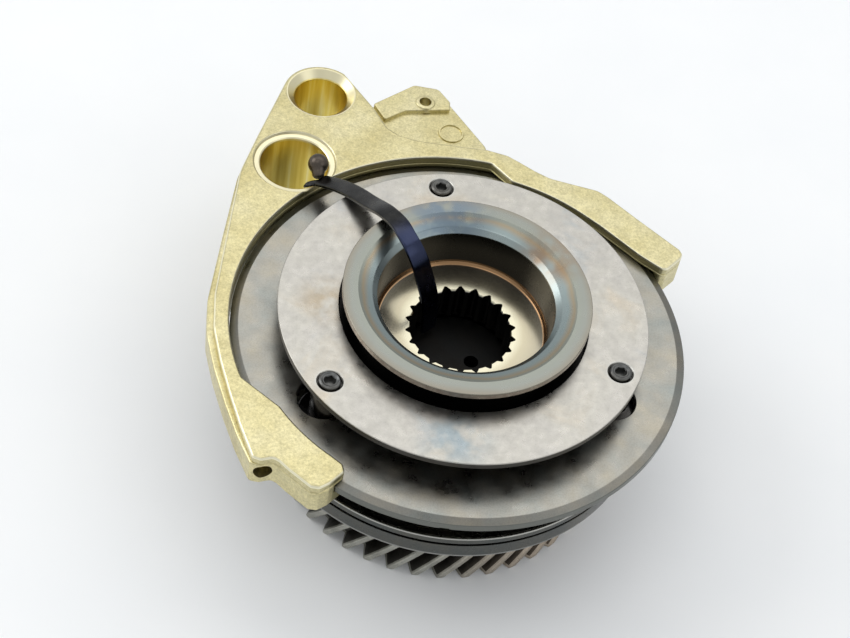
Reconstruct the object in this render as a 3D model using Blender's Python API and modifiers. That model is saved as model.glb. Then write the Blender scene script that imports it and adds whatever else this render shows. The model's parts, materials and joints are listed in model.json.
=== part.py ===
"""Two-speed planetary gear set with its sliding sleeve and shift fork.

Units are metres and +Z runs up the gear axis, towards the collar. The origin is the centre of
the stop face inside the splined bore, where the end of a shaft comes to rest.
From the table up: helical output gear with an internal ring gear, planet carrier, three guide
pins, sliding sleeve, top plate. The sun hub runs up through the middle of all of them.
"""

import math

import bmesh
import bpy
from mathutils import Matrix, Vector

MM = 0.001
GAP = 0.3 * MM  # clearance between pieces that meet

# Driving dimensions, in metres
PLATE_R = 61.5 * MM
PLATE_TOP = 25.5 * MM
PLATE_THICK = 2.5 * MM
PLATE_BOTTOM = PLATE_TOP - PLATE_THICK
PLATE_BORE_R = 41.4 * MM

COLLAR_R = 41.1 * MM
COLLAR_TOP = 34.0 * MM
COLLAR_THICK = 2.3 * MM
COLLAR_BORE_R = 29.4 * MM
COLLAR_FLOOR = 16.0 * MM
NECK_R = 36.5 * MM
HUB_SHOULDER = -8.0 * MM
JOURNAL_R = 28.6 * MM
LOWER_JOURNAL_R = 24.0 * MM
HUB_END = -46.9 * MM
HUB_BORE_R = 20.0 * MM
SPLINE_BOTTOM = 2.4 * MM
SPLINE_RELIEF_R = 18.7 * MM

SPLINE_TEETH = 22
SPLINE_TIP_R = 16.7 * MM
SPLINE_ROOT_R = 18.5 * MM

STOP_DISC_THICK = 3.4 * MM
OIL_HOLE_R = 2.4 * MM
OIL_HOLE_X = 5.9 * MM

SLEEVE_R = 76.2 * MM
SLEEVE_FACE_R = 73.5 * MM
SLEEVE_TOP = 13.9 * MM
SLEEVE_RIM_TOP = 13.1 * MM
SLEEVE_BOTTOM = 10.4 * MM
SLEEVE_HUB_R = 45.3 * MM
SLEEVE_HUB_BOTTOM = 5.2 * MM
SLEEVE_TURN = math.radians(-2.6)  # the holes lean on one side of the guide pins
SLEEVE_HOLE_R = 8.2 * MM
SLEEVE_TRAVEL = 5.5 * MM

DOG_TEETH = 24
DOG_TIP_R = 43.2 * MM
DOG_ROOT_R = 40.9 * MM
DOG_TOP = PLATE_BOTTOM - 0.4 * MM
DOG_BOTTOM = 19.8 * MM

GUIDE_COUNT = 3
GUIDE_CIRCLE_R = 54.85 * MM
GUIDE_PHASE = math.radians(106.7)
GUIDE_R = 5.5 * MM
GUIDE_SHOULDER_R = 9.0 * MM

CARRIER_R = 67.6 * MM
CARRIER_TOP = -7.7 * MM
CARRIER_FLOOR = -9.9 * MM
CARRIER_BOTTOM = -17.7 * MM
CARRIER_RIM_INNER_R = 64.3 * MM
CARRIER_BORE_R = 29.0 * MM
CARRIER_GROOVE_TOP = -10.4 * MM
CARRIER_GROOVE_BOTTOM = -11.6 * MM
CARRIER_GROOVE_R = 65.6 * MM

PLANET_COUNT = 3
PLANET_PHASE = math.radians(46.7)
GEAR_MODULE = 1.5 * MM
SUN_TEETH = 36
PLANET_TEETH = 12
RING_TEETH = 60
SUN_PLANET_CENTRES = 0.5 * GEAR_MODULE * (SUN_TEETH + PLANET_TEETH)
PRESSURE_ANGLE = math.radians(25)
ADDENDUM = 0.8 * GEAR_MODULE
DEDENDUM = 1.05 * GEAR_MODULE
BACKLASH = 0.16 * MM  # how much thinner each tooth is at its pitch circle
PLANET_TOP = -19.2 * MM
PLANET_BOTTOM = -36.8 * MM
PLANET_PIN_R = 3.5 * MM
PLANET_BUSH_R = 5.0 * MM
PLANET_BORE_R = 5.3 * MM
WASHER_R = 7.2 * MM
WASHER_THICK = 0.9 * MM

CAGE_TOP = -38.2 * MM
CAGE_BOTTOM = -41.5 * MM
CAGE_R = 43.0 * MM
CAGE_POST_R = 5.5 * MM
BOLT_HEAD_R = 4.0 * MM
BOLT_R = 2.5 * MM

OUTPUT_TEETH = 42
OUTPUT_TIP_R = 57.9 * MM
OUTPUT_PITCH_R = 55.7 * MM
OUTPUT_ROOT_R = 52.3 * MM
OUTPUT_HELIX = math.radians(32)
OUTPUT_PHASE = math.radians(-80.2)
OUTPUT_TOP = -18.1 * MM
OUTPUT_BOTTOM = -47.2 * MM
OUTPUT_WEB_TOP = -42.9 * MM
OUTPUT_WEB_BOTTOM = -45.3 * MM
OUTPUT_WEB_BORE_R = 26.5 * MM
OUTPUT_RECESS_R = 49.6 * MM

FORK_TOP = 18.1 * MM
FORK_BOTTOM = 5.2 * MM
FORK_ARC_R = 76.6 * MM
FORK_PAD_R = 70.2 * MM
FORK_PARTING = 14.7 * MM  # below this height the outer wall stands further out
FORK_BOSS_BOTTOM = -11.0 * MM
FORK_SLOT_TOP = SLEEVE_TOP + GAP
FORK_SLOT_BOTTOM = SLEEVE_BOTTOM - GAP
RAIL_BORE = Vector((-65.5, 94.4)) * MM
RAIL_BORE_R = 9.5 * MM
RAIL_CHAMFER_R = 12.0 * MM
DETENT_BORE = Vector((-68.0, 58.2)) * MM
DETENT_BORE_R = 12.2 * MM
DETENT_RING_R = 14.2 * MM
LUG_TOP = 13.5 * MM

STRAP_THICK = 1.5 * MM
BALL_R = 3.6 * MM
BALL_CENTRE = Vector((-59.35, 55.15, 22.1)) * MM
BALL_AIM = Vector((-58.3, 50.2, 20.5)) * MM
BALL_NECK_R = 1.5 * MM
BALL_REACH = 4.2 * MM  # from the ball's centre to the end of its neck

STEEL = (0.42, 0.41, 0.39)
DARK_STEEL = (0.16, 0.155, 0.15)
BRONZE = (0.52, 0.36, 0.18)
BRASS = (0.83, 0.72, 0.42)
BLACK = (0.03, 0.03, 0.04)


def clear_scene():
    for obj in list(bpy.data.objects):
        bpy.data.objects.remove(obj, do_unlink=True)


def collection(name):
    made = bpy.data.collections.new(name)
    bpy.context.scene.collection.children.link(made)
    return made


def material(name, colour, roughness, metallic):
    made = bpy.data.materials.new(name)
    made.use_nodes = True
    shader = made.node_tree.nodes["Principled BSDF"]
    shader.inputs["Base Color"].default_value = (*colour, 1)
    shader.inputs["Roughness"].default_value = roughness
    shader.inputs["Metallic"].default_value = metallic
    return made


clear_scene()
PARTS = collection("planetary_gear_set")
CUTTERS = collection("cutters")


# Outlines and profiles -------------------------------------------------------------------


def polar(radius, angle, centre=(0.0, 0.0)):
    return (centre[0] + radius * math.cos(angle), centre[1] + radius * math.sin(angle))


def circle(radius, steps, centre=(0.0, 0.0), phase=0.0):
    return [polar(radius, phase + math.tau * k / steps, centre) for k in range(steps)]


def arc(radius, start, end, steps, centre=(0.0, 0.0)):
    """Points from start to end, in degrees, both included."""
    turn = math.radians(end - start) / steps
    return [polar(radius, math.radians(start) + turn * k, centre) for k in range(steps + 1)]


def involute(angle):
    return math.tan(angle) - angle


def half_tooth(radius, pitch_r, teeth, thinning):
    """Half a tooth's angle at a radius, for an external involute tooth."""
    base = pitch_r * math.cos(PRESSURE_ANGLE)
    at = math.acos(min(1.0, base / max(radius, base)))
    half_pitch = (math.pi * pitch_r / teeth - thinning) / (2 * pitch_r)
    return half_pitch + involute(PRESSURE_ANGLE) - involute(at)


def gear_outline(teeth, pitch_r, tip_r, root_r, thinning, phase=0.0, flank_points=1):
    """An external gear's outline, one tooth centred on phase."""
    points = []
    for tooth in range(teeth):
        centre = phase + math.tau * tooth / teeth
        side = []
        for step in range(flank_points + 1):
            radius = root_r + (tip_r - root_r) * step / flank_points
            side.append((radius, half_tooth(radius, pitch_r, teeth, thinning)))
        points += [polar(radius, centre - half) for radius, half in side]
        points += [polar(radius, centre + half) for radius, half in reversed(side)]
    return points


def land_outline(teeth, outer_r, inner_r, outer_share, inner_share, phase=0.0):
    """Straight-sided teeth; the shares are each tooth's part of the pitch at its outer and inner end."""
    points = []
    pitch = math.tau / teeth
    for tooth in range(teeth):
        centre = phase + pitch * tooth
        points.append(polar(inner_r, centre - pitch * inner_share / 2))
        points.append(polar(outer_r, centre - pitch * outer_share / 2))
        points.append(polar(outer_r, centre + pitch * outer_share / 2))
        points.append(polar(inner_r, centre + pitch * inner_share / 2))
    return points


# Making objects --------------------------------------------------------------------------


def place(obj, where, finish=None):
    where.objects.link(obj)
    if finish is not None:
        obj.data.materials.append(finish)
    if where is CUTTERS:
        obj.hide_render = True
        obj.display_type = "WIRE"
    return obj


def flat_piece(name, loops, bottom, top, where, finish=None):
    """A flat piece from closed outlines, the first the outside and the rest its holes."""
    curve = bpy.data.curves.new(name, "CURVE")
    curve.dimensions = "2D"
    curve.fill_mode = "BOTH"
    curve.extrude = (top - bottom) / 2
    for loop in loops:
        spline = curve.splines.new("POLY")
        spline.points.add(len(loop) - 1)
        for point, (x, y) in zip(spline.points, loop):
            point.co = (x, y, 0, 1)
        spline.use_cyclic_u = True
    guide = bpy.data.objects.new(name + "_curve", curve)
    guide.location = (0, 0, (top + bottom) / 2)
    CUTTERS.objects.link(guide)
    bpy.context.view_layer.update()
    graph = bpy.context.evaluated_depsgraph_get()
    mesh = bpy.data.meshes.new_from_object(guide.evaluated_get(graph))
    shape = bmesh.new()
    shape.from_mesh(mesh)
    bmesh.ops.transform(shape, matrix=guide.matrix_world, verts=shape.verts)
    bmesh.ops.remove_doubles(shape, verts=shape.verts, dist=0.001 * MM)
    bmesh.ops.recalc_face_normals(shape, faces=shape.faces)
    shape.to_mesh(mesh)
    shape.free()
    bpy.data.objects.remove(guide, do_unlink=True)
    mesh.name = name
    return place(bpy.data.objects.new(name, mesh), where, finish)


def turned_piece(name, profile, steps, where, finish=None):
    """A ring turned from a closed profile of (radius, height) in mm, down its outside and up its inside."""
    mesh = bpy.data.meshes.new(name)
    points = [(radius * MM, 0, height * MM) for radius, height in profile]
    edges = [(k, (k + 1) % len(points)) for k in range(len(points))]
    mesh.from_pydata(points, edges, [])
    obj = place(bpy.data.objects.new(name, mesh), where, finish)
    screw = obj.modifiers.new("turn", "SCREW")
    screw.steps = screw.render_steps = steps
    screw.use_merge_vertices = True
    screw.merge_threshold = 0.0001 * MM
    return obj


def turned_solid(name, profile, steps, where, finish=None):
    """A solid turned from an open profile that starts and ends on the axis, top to bottom, in mm."""
    mesh = bpy.data.meshes.new(name)
    points = [(radius * MM, 0, height * MM) for radius, height in profile]
    mesh.from_pydata(points, [(k, k + 1) for k in range(len(points) - 1)], [])
    obj = place(bpy.data.objects.new(name, mesh), where, finish)
    screw = obj.modifiers.new("turn", "SCREW")
    screw.steps = screw.render_steps = steps
    screw.use_merge_vertices = True
    screw.merge_threshold = 0.0001 * MM
    return obj


def cylinder_cutter(name, radius, bottom, top, steps=24, top_radius=None):
    mesh = bpy.data.meshes.new(name)
    shape = bmesh.new()
    bmesh.ops.create_cone(
        shape,
        cap_ends=True,
        segments=steps,
        radius1=radius,
        radius2=radius if top_radius is None else top_radius,
        depth=top - bottom,
    )
    bmesh.ops.translate(shape, verts=shape.verts, vec=(0, 0, (top + bottom) / 2))
    shape.to_mesh(mesh)
    shape.free()
    return place(bpy.data.objects.new(name, mesh), CUTTERS)


def combine(target, other, operation):
    step = target.modifiers.new(operation.lower() + "_" + other.name, "BOOLEAN")
    step.operation = operation
    step.object = other
    return step


def cut(target, cutter, at=(0.0, 0.0)):
    cutter.location.x += at[0]
    cutter.location.y += at[1]
    combine(target, cutter, "DIFFERENCE")


def cut_circle(target, name, radius, bottom, top, circle_r, count, phase, steps=24, top_radius=None):
    """The same round hole at each place of a bolt circle."""
    for index in range(count):
        hole = cylinder_cutter(f"{name}_{index + 1}", radius, bottom, top, steps, top_radius)
        cut(target, hole, polar(circle_r, phase + math.tau * index / count))


def ring(name, inner, outer, bottom, top, steps, finish, centre=(0.0, 0.0)):
    loops = [circle(outer, steps, centre), circle(inner, steps, centre)]
    return flat_piece(name, loops, bottom, top, PARTS, finish)


def open_ring(name, inner, outer, bottom, top, gap_degrees, gap_at, steps, finish):
    """A snap ring: a flat ring with a gap in it."""
    start = gap_at + gap_degrees / 2
    end = gap_at + 360 - gap_degrees / 2
    loop = arc(outer, start, end, steps) + arc(inner, end, start, steps)
    return flat_piece(name, [loop], bottom, top, PARTS, finish)


# Sun hub ---------------------------------------------------------------------------------


def sun_hub():
    finish = material("hub_steel", STEEL, 0.32, 1.0)
    top = COLLAR_TOP / MM
    rim = COLLAR_R / MM
    under = top - COLLAR_THICK / MM
    floor = COLLAR_FLOOR / MM
    bore = COLLAR_BORE_R / MM
    neck = NECK_R / MM
    shoulder = HUB_SHOULDER / MM
    journal = LOWER_JOURNAL_R / MM
    end = HUB_END / MM
    lower_bore = HUB_BORE_R / MM
    sun_root = SUN_TEETH * GEAR_MODULE / 2 / MM - DEDENDUM / MM
    groove = end + 0.35
    profile = [
        (36.0, top),
        (rim - 0.5, top),
        (rim, top - 0.5),
        (rim, under),
        (neck, under),
        (neck, shoulder),
        (JOURNAL_R / MM, shoulder),
        (JOURNAL_R / MM, -18.6),
        (sun_root, -18.6),
        (sun_root, PLANET_BOTTOM / MM - 0.2),
        (journal, PLANET_BOTTOM / MM - 0.2),
        (journal, groove + 1.1),
        (journal - 1.9, groove + 1.1),
        (journal - 1.9, groove),
        (journal, groove),
        (journal, end),
        (lower_bore, end),
        (lower_bore, -5.0),
        (lower_bore + 1.4, -5.0),
        (lower_bore + 1.4, -3.4),
        (lower_bore, -3.4),
        (lower_bore, -0.9),
        (SPLINE_RELIEF_R / MM, -0.9),
        (SPLINE_RELIEF_R / MM, SPLINE_BOTTOM / MM),
        (SPLINE_TIP_R / MM, SPLINE_BOTTOM / MM),
        (SPLINE_TIP_R / MM, floor - 0.5),
        (SPLINE_TIP_R / MM + 0.6, floor),
        (27.9, floor + 0.2),
        (28.7, floor + 1.3),
        (bore, 30.4),
    ]
    hub = turned_piece("sun_hub", profile, 36, PARTS, finish)
    sun = gear_outline(
        SUN_TEETH,
        SUN_TEETH * GEAR_MODULE / 2,
        SUN_TEETH * GEAR_MODULE / 2 + ADDENDUM,
        SUN_TEETH * GEAR_MODULE / 2 - DEDENDUM,
        BACKLASH,
    )
    core = circle(22 * MM, 36)
    teeth = flat_piece("sun_teeth", [sun, core], PLANET_BOTTOM, PLANET_TOP, CUTTERS)
    combine(hub, teeth, "UNION")
    dogs = land_outline(DOG_TEETH, DOG_TIP_R, DOG_ROOT_R, 0.36, 0.5)
    collar = flat_piece("hub_dogs", [dogs, circle(34 * MM, 36)], DOG_BOTTOM, DOG_TOP, CUTTERS)
    combine(hub, collar, "UNION")
    slots = land_outline(SPLINE_TEETH, SPLINE_ROOT_R, SPLINE_TIP_R - 0.3 * MM, 0.14, 0.84)
    combine(hub, flat_piece("spline_slots", [slots], SPLINE_BOTTOM - MM, COLLAR_FLOOR + MM, CUTTERS), "DIFFERENCE")
    return hub


def shaft_stop():
    """A stepped disc: its flange sits under the spline's relief and its raised middle meets the shaft."""
    finish = material("stop_steel", DARK_STEEL, 0.45, 1.0)
    flange = HUB_BORE_R / MM - 0.3
    pad = SPLINE_RELIEF_R / MM - 0.7
    low = -STOP_DISC_THICK / MM
    profile = [(0, 0), (pad, 0), (pad, -1.2), (flange, -1.2), (flange, low), (0, low)]
    disc = turned_solid("shaft_stop_disc", profile, 36, PARTS, finish)
    hole = cylinder_cutter("oil_hole", OIL_HOLE_R, -STOP_DISC_THICK - MM, MM, 16)
    cut(disc, hole, (OIL_HOLE_X, 0))
    spring = material("spring_steel", DARK_STEEL, 0.35, 1.0)
    inner = HUB_BORE_R - 1.8 * MM
    outer = HUB_BORE_R + 1.1 * MM
    open_ring("stop_snap_ring", inner, outer, -4.7 * MM, -3.7 * MM, 24, 90, 24, spring)


def lower_circlip():
    finish = material("circlip_steel", DARK_STEEL, 0.35, 1.0)
    low = HUB_END + 0.55 * MM
    inner = LOWER_JOURNAL_R - 1.6 * MM
    open_ring("hub_circlip", inner, LOWER_JOURNAL_R + 2 * MM, low, low + 0.7 * MM, 30, -90, 28, finish)


# Top plate, screws and guide pins --------------------------------------------------------


def top_plate():
    finish = material("plate_steel", (0.58, 0.57, 0.55), 0.38, 1.0)
    profile = [
        (PLATE_R / MM - 0.3, PLATE_TOP / MM),
        (PLATE_R / MM, PLATE_TOP / MM - 0.3),
        (PLATE_R / MM, PLATE_BOTTOM / MM),
        (PLATE_BORE_R / MM, PLATE_BOTTOM / MM),
        (PLATE_BORE_R / MM, PLATE_TOP / MM),
    ]
    plate = turned_piece("top_plate", profile, 54, PARTS, finish)
    seat = (4.5 * MM, PLATE_TOP - 1.6 * MM, PLATE_TOP + 1 * MM)
    cut_circle(plate, "screw_seat", *seat, GUIDE_CIRCLE_R, GUIDE_COUNT, GUIDE_PHASE, 20)
    shank = (2.9 * MM, PLATE_BOTTOM - 1 * MM, PLATE_TOP)
    cut_circle(plate, "screw_hole", *shank, GUIDE_CIRCLE_R, GUIDE_COUNT, GUIDE_PHASE, 16)


def socket_screw(name, at, head_r, shank_r, head_bottom, head_top, end, finish):
    """A socket-head screw, its head up, with a hexagon socket."""
    profile = [
        (0, head_top / MM),
        (head_r / MM - 0.35, head_top / MM),
        (head_r / MM, head_top / MM - 0.35),
        (head_r / MM, head_bottom / MM),
        (shank_r / MM, head_bottom / MM),
        (shank_r / MM, end / MM),
        (0, end / MM),
    ]
    screw = turned_solid(name, profile, 16, PARTS, finish)
    screw.location = (*at, 0)
    socket = flat_piece(
        name + "_socket", [circle(2.5 * MM, 6, at)], head_top - 1.7 * MM, head_top + 1 * MM, CUTTERS
    )
    combine(screw, socket, "DIFFERENCE")


def guides():
    dark = material("guide_steel", DARK_STEEL, 0.3, 1.0)
    bolt = material("screw_steel", (0.3, 0.3, 0.3), 0.35, 1.0)
    low = CARRIER_FLOOR / MM + GAP / MM
    seat = (SLEEVE_BOTTOM - GAP) / MM
    top = (PLATE_BOTTOM - GAP) / MM
    profile = [
        (2.8, top),
        (GUIDE_R / MM, top),
        (GUIDE_R / MM, seat),
        (GUIDE_SHOULDER_R / MM - 0.5, seat),
        (GUIDE_SHOULDER_R / MM, seat - 0.5),
        (GUIDE_SHOULDER_R / MM, low),
        (4.7, low),
        (4.7, low - 6.9),
        (0, low - 6.9),
        (0, 13.0),
        (2.8, 13.0),
    ]
    for index in range(GUIDE_COUNT):
        at = polar(GUIDE_CIRCLE_R, GUIDE_PHASE + math.tau * index / GUIDE_COUNT)
        # The blind hole is a second stretch of the same open profile.
        stretch = profile[-2:] + profile[:-2]
        pin = turned_solid(f"guide_pin_{index + 1}", stretch, 16, PARTS, dark)
        pin.location = (*at, 0)
        socket_screw(
            f"plate_screw_{index + 1}",
            at,
            4.1 * MM,
            2.5 * MM,
            PLATE_TOP - 1.6 * MM + GAP,
            PLATE_TOP + 1.1 * MM,
            13.6 * MM,
            bolt,
        )


# Sliding sleeve --------------------------------------------------------------------------


def shift_sleeve():
    finish = material("sleeve_steel", (0.36, 0.355, 0.34), 0.36, 1.0)
    bore = DOG_ROOT_R / MM + 0.4
    profile = [
        (SLEEVE_FACE_R / MM, SLEEVE_TOP / MM),
        (SLEEVE_R / MM, SLEEVE_RIM_TOP / MM),
        (SLEEVE_R / MM, SLEEVE_BOTTOM / MM),
        (SLEEVE_HUB_R / MM, SLEEVE_BOTTOM / MM),
        (SLEEVE_HUB_R / MM, SLEEVE_HUB_BOTTOM / MM),
        (bore, SLEEVE_HUB_BOTTOM / MM),
        (bore, SLEEVE_TOP / MM),
    ]
    sleeve = turned_piece("shift_sleeve", profile, 60, PARTS, finish)
    # Straight-sided slots that the hub's dog teeth would enter past the end of the free travel.
    root = DOG_TIP_R + 0.4 * MM
    slots = land_outline(DOG_TEETH, root, DOG_ROOT_R, 0.45, 0.58)
    tool = flat_piece("sleeve_slots", [slots], SLEEVE_HUB_BOTTOM - MM, SLEEVE_TOP + MM, CUTTERS)
    combine(sleeve, tool, "DIFFERENCE")
    cut_circle(
        sleeve,
        "guide_window",
        SLEEVE_HOLE_R,
        SLEEVE_BOTTOM - MM,
        SLEEVE_TOP + MM,
        GUIDE_CIRCLE_R,
        GUIDE_COUNT,
        GUIDE_PHASE + SLEEVE_TURN,
        24,
    )


# Carrier ---------------------------------------------------------------------------------


def planet_places(offset=0.0):
    for index in range(PLANET_COUNT):
        angle = PLANET_PHASE + offset + math.tau * index / PLANET_COUNT
        yield index + 1, angle, polar(SUN_PLANET_CENTRES, angle)


def carrier_drum():
    finish = material("drum_steel", (0.34, 0.335, 0.32), 0.36, 1.0)
    top = CARRIER_TOP / MM
    low = CARRIER_BOTTOM / MM
    rim = CARRIER_R / MM
    profile = [
        (CARRIER_RIM_INNER_R / MM, top),
        (rim - 0.3, top),
        (rim, top - 0.3),
        (rim, CARRIER_GROOVE_TOP / MM),
        (CARRIER_GROOVE_R / MM, CARRIER_GROOVE_TOP / MM),
        (CARRIER_GROOVE_R / MM, CARRIER_GROOVE_BOTTOM / MM),
        (rim, CARRIER_GROOVE_BOTTOM / MM),
        (rim, low),
        (CARRIER_BORE_R / MM, low),
        (CARRIER_BORE_R / MM, CARRIER_FLOOR / MM),
        (CARRIER_RIM_INNER_R / MM, CARRIER_FLOOR / MM),
    ]
    drum = turned_piece("carrier_drum", profile, 48, PARTS, finish)
    spigot = (5.0 * MM, CARRIER_BOTTOM - MM, CARRIER_FLOOR + MM)
    cut_circle(drum, "guide_seat", *spigot, GUIDE_CIRCLE_R, GUIDE_COUNT, GUIDE_PHASE, 16)
    pin = (PLANET_PIN_R + GAP, CARRIER_BOTTOM - MM, CARRIER_FLOOR + MM)
    cut_circle(drum, "planet_seat", *pin, SUN_PLANET_CENTRES, PLANET_COUNT, PLANET_PHASE, 12)
    between = PLANET_PHASE + math.pi / PLANET_COUNT
    head = (BOLT_HEAD_R + 0.4 * MM, CARRIER_FLOOR - 3.3 * MM, CARRIER_FLOOR + MM)
    cut_circle(drum, "bolt_seat", *head, SUN_PLANET_CENTRES, PLANET_COUNT, between, 16)
    hole = (BOLT_R + 0.4 * MM, CARRIER_BOTTOM - MM, CARRIER_FLOOR)
    cut_circle(drum, "bolt_hole", *hole, SUN_PLANET_CENTRES, PLANET_COUNT, between, 16)
    return finish


def carrier_cage(finish):
    loops = [circle(CAGE_R, 40), circle(LOWER_JOURNAL_R + 0.6 * MM, 32)]
    cage = flat_piece("carrier_cage", loops, CAGE_BOTTOM, CAGE_TOP, PARTS, finish)
    dark = material("bolt_steel", DARK_STEEL, 0.35, 1.0)
    for index, _, at in planet_places(math.pi / PLANET_COUNT):
        post = cylinder_cutter(f"post_{index}", CAGE_POST_R, CAGE_TOP - MM, CARRIER_BOTTOM - GAP, 16)
        post.location.xy = at
        combine(cage, post, "UNION")
        cut(cage, cylinder_cutter(f"post_hole_{index}", BOLT_R + GAP, -31 * MM, -17 * MM, 16), at)
        head_top = CARRIER_FLOOR - 0.2 * MM
        socket_screw(
            f"carrier_bolt_{index}", at, BOLT_HEAD_R, BOLT_R, head_top - 2.8 * MM, head_top, -30 * MM, dark
        )
    pin = (PLANET_PIN_R + GAP, CAGE_BOTTOM - MM, CAGE_TOP + MM)
    cut_circle(cage, "cage_seat", *pin, SUN_PLANET_CENTRES, PLANET_COUNT, PLANET_PHASE, 16)


def thrust_washers():
    finish = material("washer_bronze", BRONZE, 0.4, 1.0)
    top = HUB_SHOULDER - GAP
    ring("hub_thrust_washer", JOURNAL_R + 0.5 * MM, 35.2 * MM, CARRIER_FLOOR + GAP, top, 32, finish)
    low = OUTPUT_WEB_TOP + GAP
    ring("gear_thrust_washer", 27 * MM, 38 * MM, low, CAGE_BOTTOM - GAP, 32, finish)


# Planets ---------------------------------------------------------------------------------


def planet_turn(angle):
    """The turn that puts a gap between planet teeth over the sun's tooth on the line of centres."""
    sun_pitch = math.tau / SUN_TEETH
    nearest_tooth = round(angle / sun_pitch) * sun_pitch - angle
    gap = angle + math.pi - nearest_tooth * SUN_TEETH / PLANET_TEETH
    return gap + math.pi / PLANET_TEETH


def planets():
    steel = material("planet_steel", STEEL, 0.3, 1.0)
    hard = material("pin_steel", DARK_STEEL, 0.25, 1.0)
    bronze = material("bush_bronze", BRONZE, 0.4, 1.0)
    pitch_r = PLANET_TEETH * GEAR_MODULE / 2
    for index, angle, at in planet_places():
        outline = gear_outline(
            PLANET_TEETH, pitch_r, pitch_r + ADDENDUM, pitch_r - DEDENDUM, BACKLASH, planet_turn(angle), 2
        )
        loops = [outline, circle(PLANET_BORE_R, 20)]
        gear = flat_piece(f"planet_gear_{index}", loops, PLANET_BOTTOM, PLANET_TOP, PARTS, steel)
        gear.location = (*at, 0)
        pin_top = CARRIER_FLOOR - GAP
        pin = [circle(PLANET_PIN_R, 16, at)]
        flat_piece(f"planet_pin_{index}", pin, CAGE_BOTTOM + GAP, pin_top, PARTS, hard)
        inner = PLANET_PIN_R + GAP
        low = PLANET_BOTTOM + 0.1 * MM
        ring(f"planet_bush_{index}", inner, PLANET_BUSH_R, low, PLANET_TOP - 0.1 * MM, 20, bronze, at)
        for side, low in (("upper", PLANET_TOP + GAP), ("lower", PLANET_BOTTOM - GAP - WASHER_THICK)):
            high = min(low + WASHER_THICK, CARRIER_BOTTOM - GAP)
            ring(f"{side}_washer_{index}", inner, WASHER_R, low, high, 20, bronze, at)


# Output gear -----------------------------------------------------------------------------


def helical_rim(name, levels):
    """The helical gear's outer teeth, as the outline lofted up the axis while it turns."""
    outline = land_outline(OUTPUT_TEETH, OUTPUT_TIP_R, OUTPUT_ROOT_R, 0.24, 0.74, OUTPUT_PHASE)
    height = OUTPUT_TOP - OUTPUT_BOTTOM
    twist = height * math.tan(OUTPUT_HELIX) / OUTPUT_PITCH_R
    shape = bmesh.new()
    rows = []
    for level in range(levels + 1):
        share = level / levels
        turn = Matrix.Rotation(twist * share, 3, "Z")
        z = OUTPUT_BOTTOM + height * share
        rows.append([shape.verts.new(turn @ Vector((x, y, 0)) + Vector((0, 0, z))) for x, y in outline])
    count = len(outline)
    for lower, upper in zip(rows, rows[1:]):
        for k in range(count):
            near = (k + 1) % count
            shape.faces.new((lower[k], lower[near], upper[near], upper[k]))
    shape.faces.new(reversed(rows[0]))
    shape.faces.new(rows[-1])
    mesh = bpy.data.meshes.new(name)
    shape.to_mesh(mesh)
    shape.free()
    return mesh


def ring_phase():
    """The angle of a gap in the ring gear, set by the first planet's tooth on the line of centres."""
    _, angle, _ = next(planet_places())
    planet_pitch = math.tau / PLANET_TEETH
    turn = planet_turn(angle)
    nearest_tooth = round((angle - turn) / planet_pitch) * planet_pitch + turn - angle
    return angle + nearest_tooth * PLANET_TEETH / RING_TEETH


def output_gear():
    finish = material("gear_steel", (0.30, 0.29, 0.27), 0.42, 1.0)
    gear = place(bpy.data.objects.new("output_gear", helical_rim("output_gear", 3)), PARTS, finish)
    # The ring gear's gaps have the shape of an external tooth, made thicker by the backlash.
    pitch_r = RING_TEETH * GEAR_MODULE / 2
    gaps = gear_outline(
        RING_TEETH, pitch_r, pitch_r + DEDENDUM, pitch_r - ADDENDUM, -BACKLASH, ring_phase()
    )
    tool = flat_piece("ring_gear_tool", [gaps], OUTPUT_WEB_TOP, OUTPUT_TOP + MM, CUTTERS)
    combine(gear, tool, "DIFFERENCE")
    relief = cylinder_cutter("ring_relief", pitch_r + DEDENDUM + GAP, OUTPUT_WEB_TOP, -39.6 * MM, 48)
    cut(gear, relief)
    cut(gear, cylinder_cutter("gear_bore", OUTPUT_WEB_BORE_R, OUTPUT_BOTTOM - MM, OUTPUT_TOP, 32))
    cut(gear, cylinder_cutter("gear_recess", OUTPUT_RECESS_R, OUTPUT_BOTTOM - MM, OUTPUT_WEB_BOTTOM, 48))
    bronze = material("gear_bush_bronze", BRONZE, 0.4, 1.0)
    inner = LOWER_JOURNAL_R + GAP
    ring("gear_bush", inner, OUTPUT_WEB_BORE_R - GAP, OUTPUT_WEB_BOTTOM, OUTPUT_WEB_TOP, 32, bronze)


# Shift fork ------------------------------------------------------------------------------


def millimetres(points):
    return [(x * MM, y * MM) for x, y in points]


# The long outer wall, from the left pad up to the lobe, as (x, y, flare) in mm. The flare is how
# much further from the gear axis the wall stands below the parting height.
FORK_WALL = [
    (-55.9, -69.0, 0.6),
    (-62.1, -58.3, 1.3),
    (-67.6, -47.6, 1.7),
    (-73.7, -34.8, 2.0),
    (-78.8, -22.0, 2.2),
    (-81.6, -8.0, 2.2),
    (-83.6, 20.0, 1.6),
    (-85.5, 48.5, 0.8),
    (-83.4, 66.0, 0.3),
]


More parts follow.
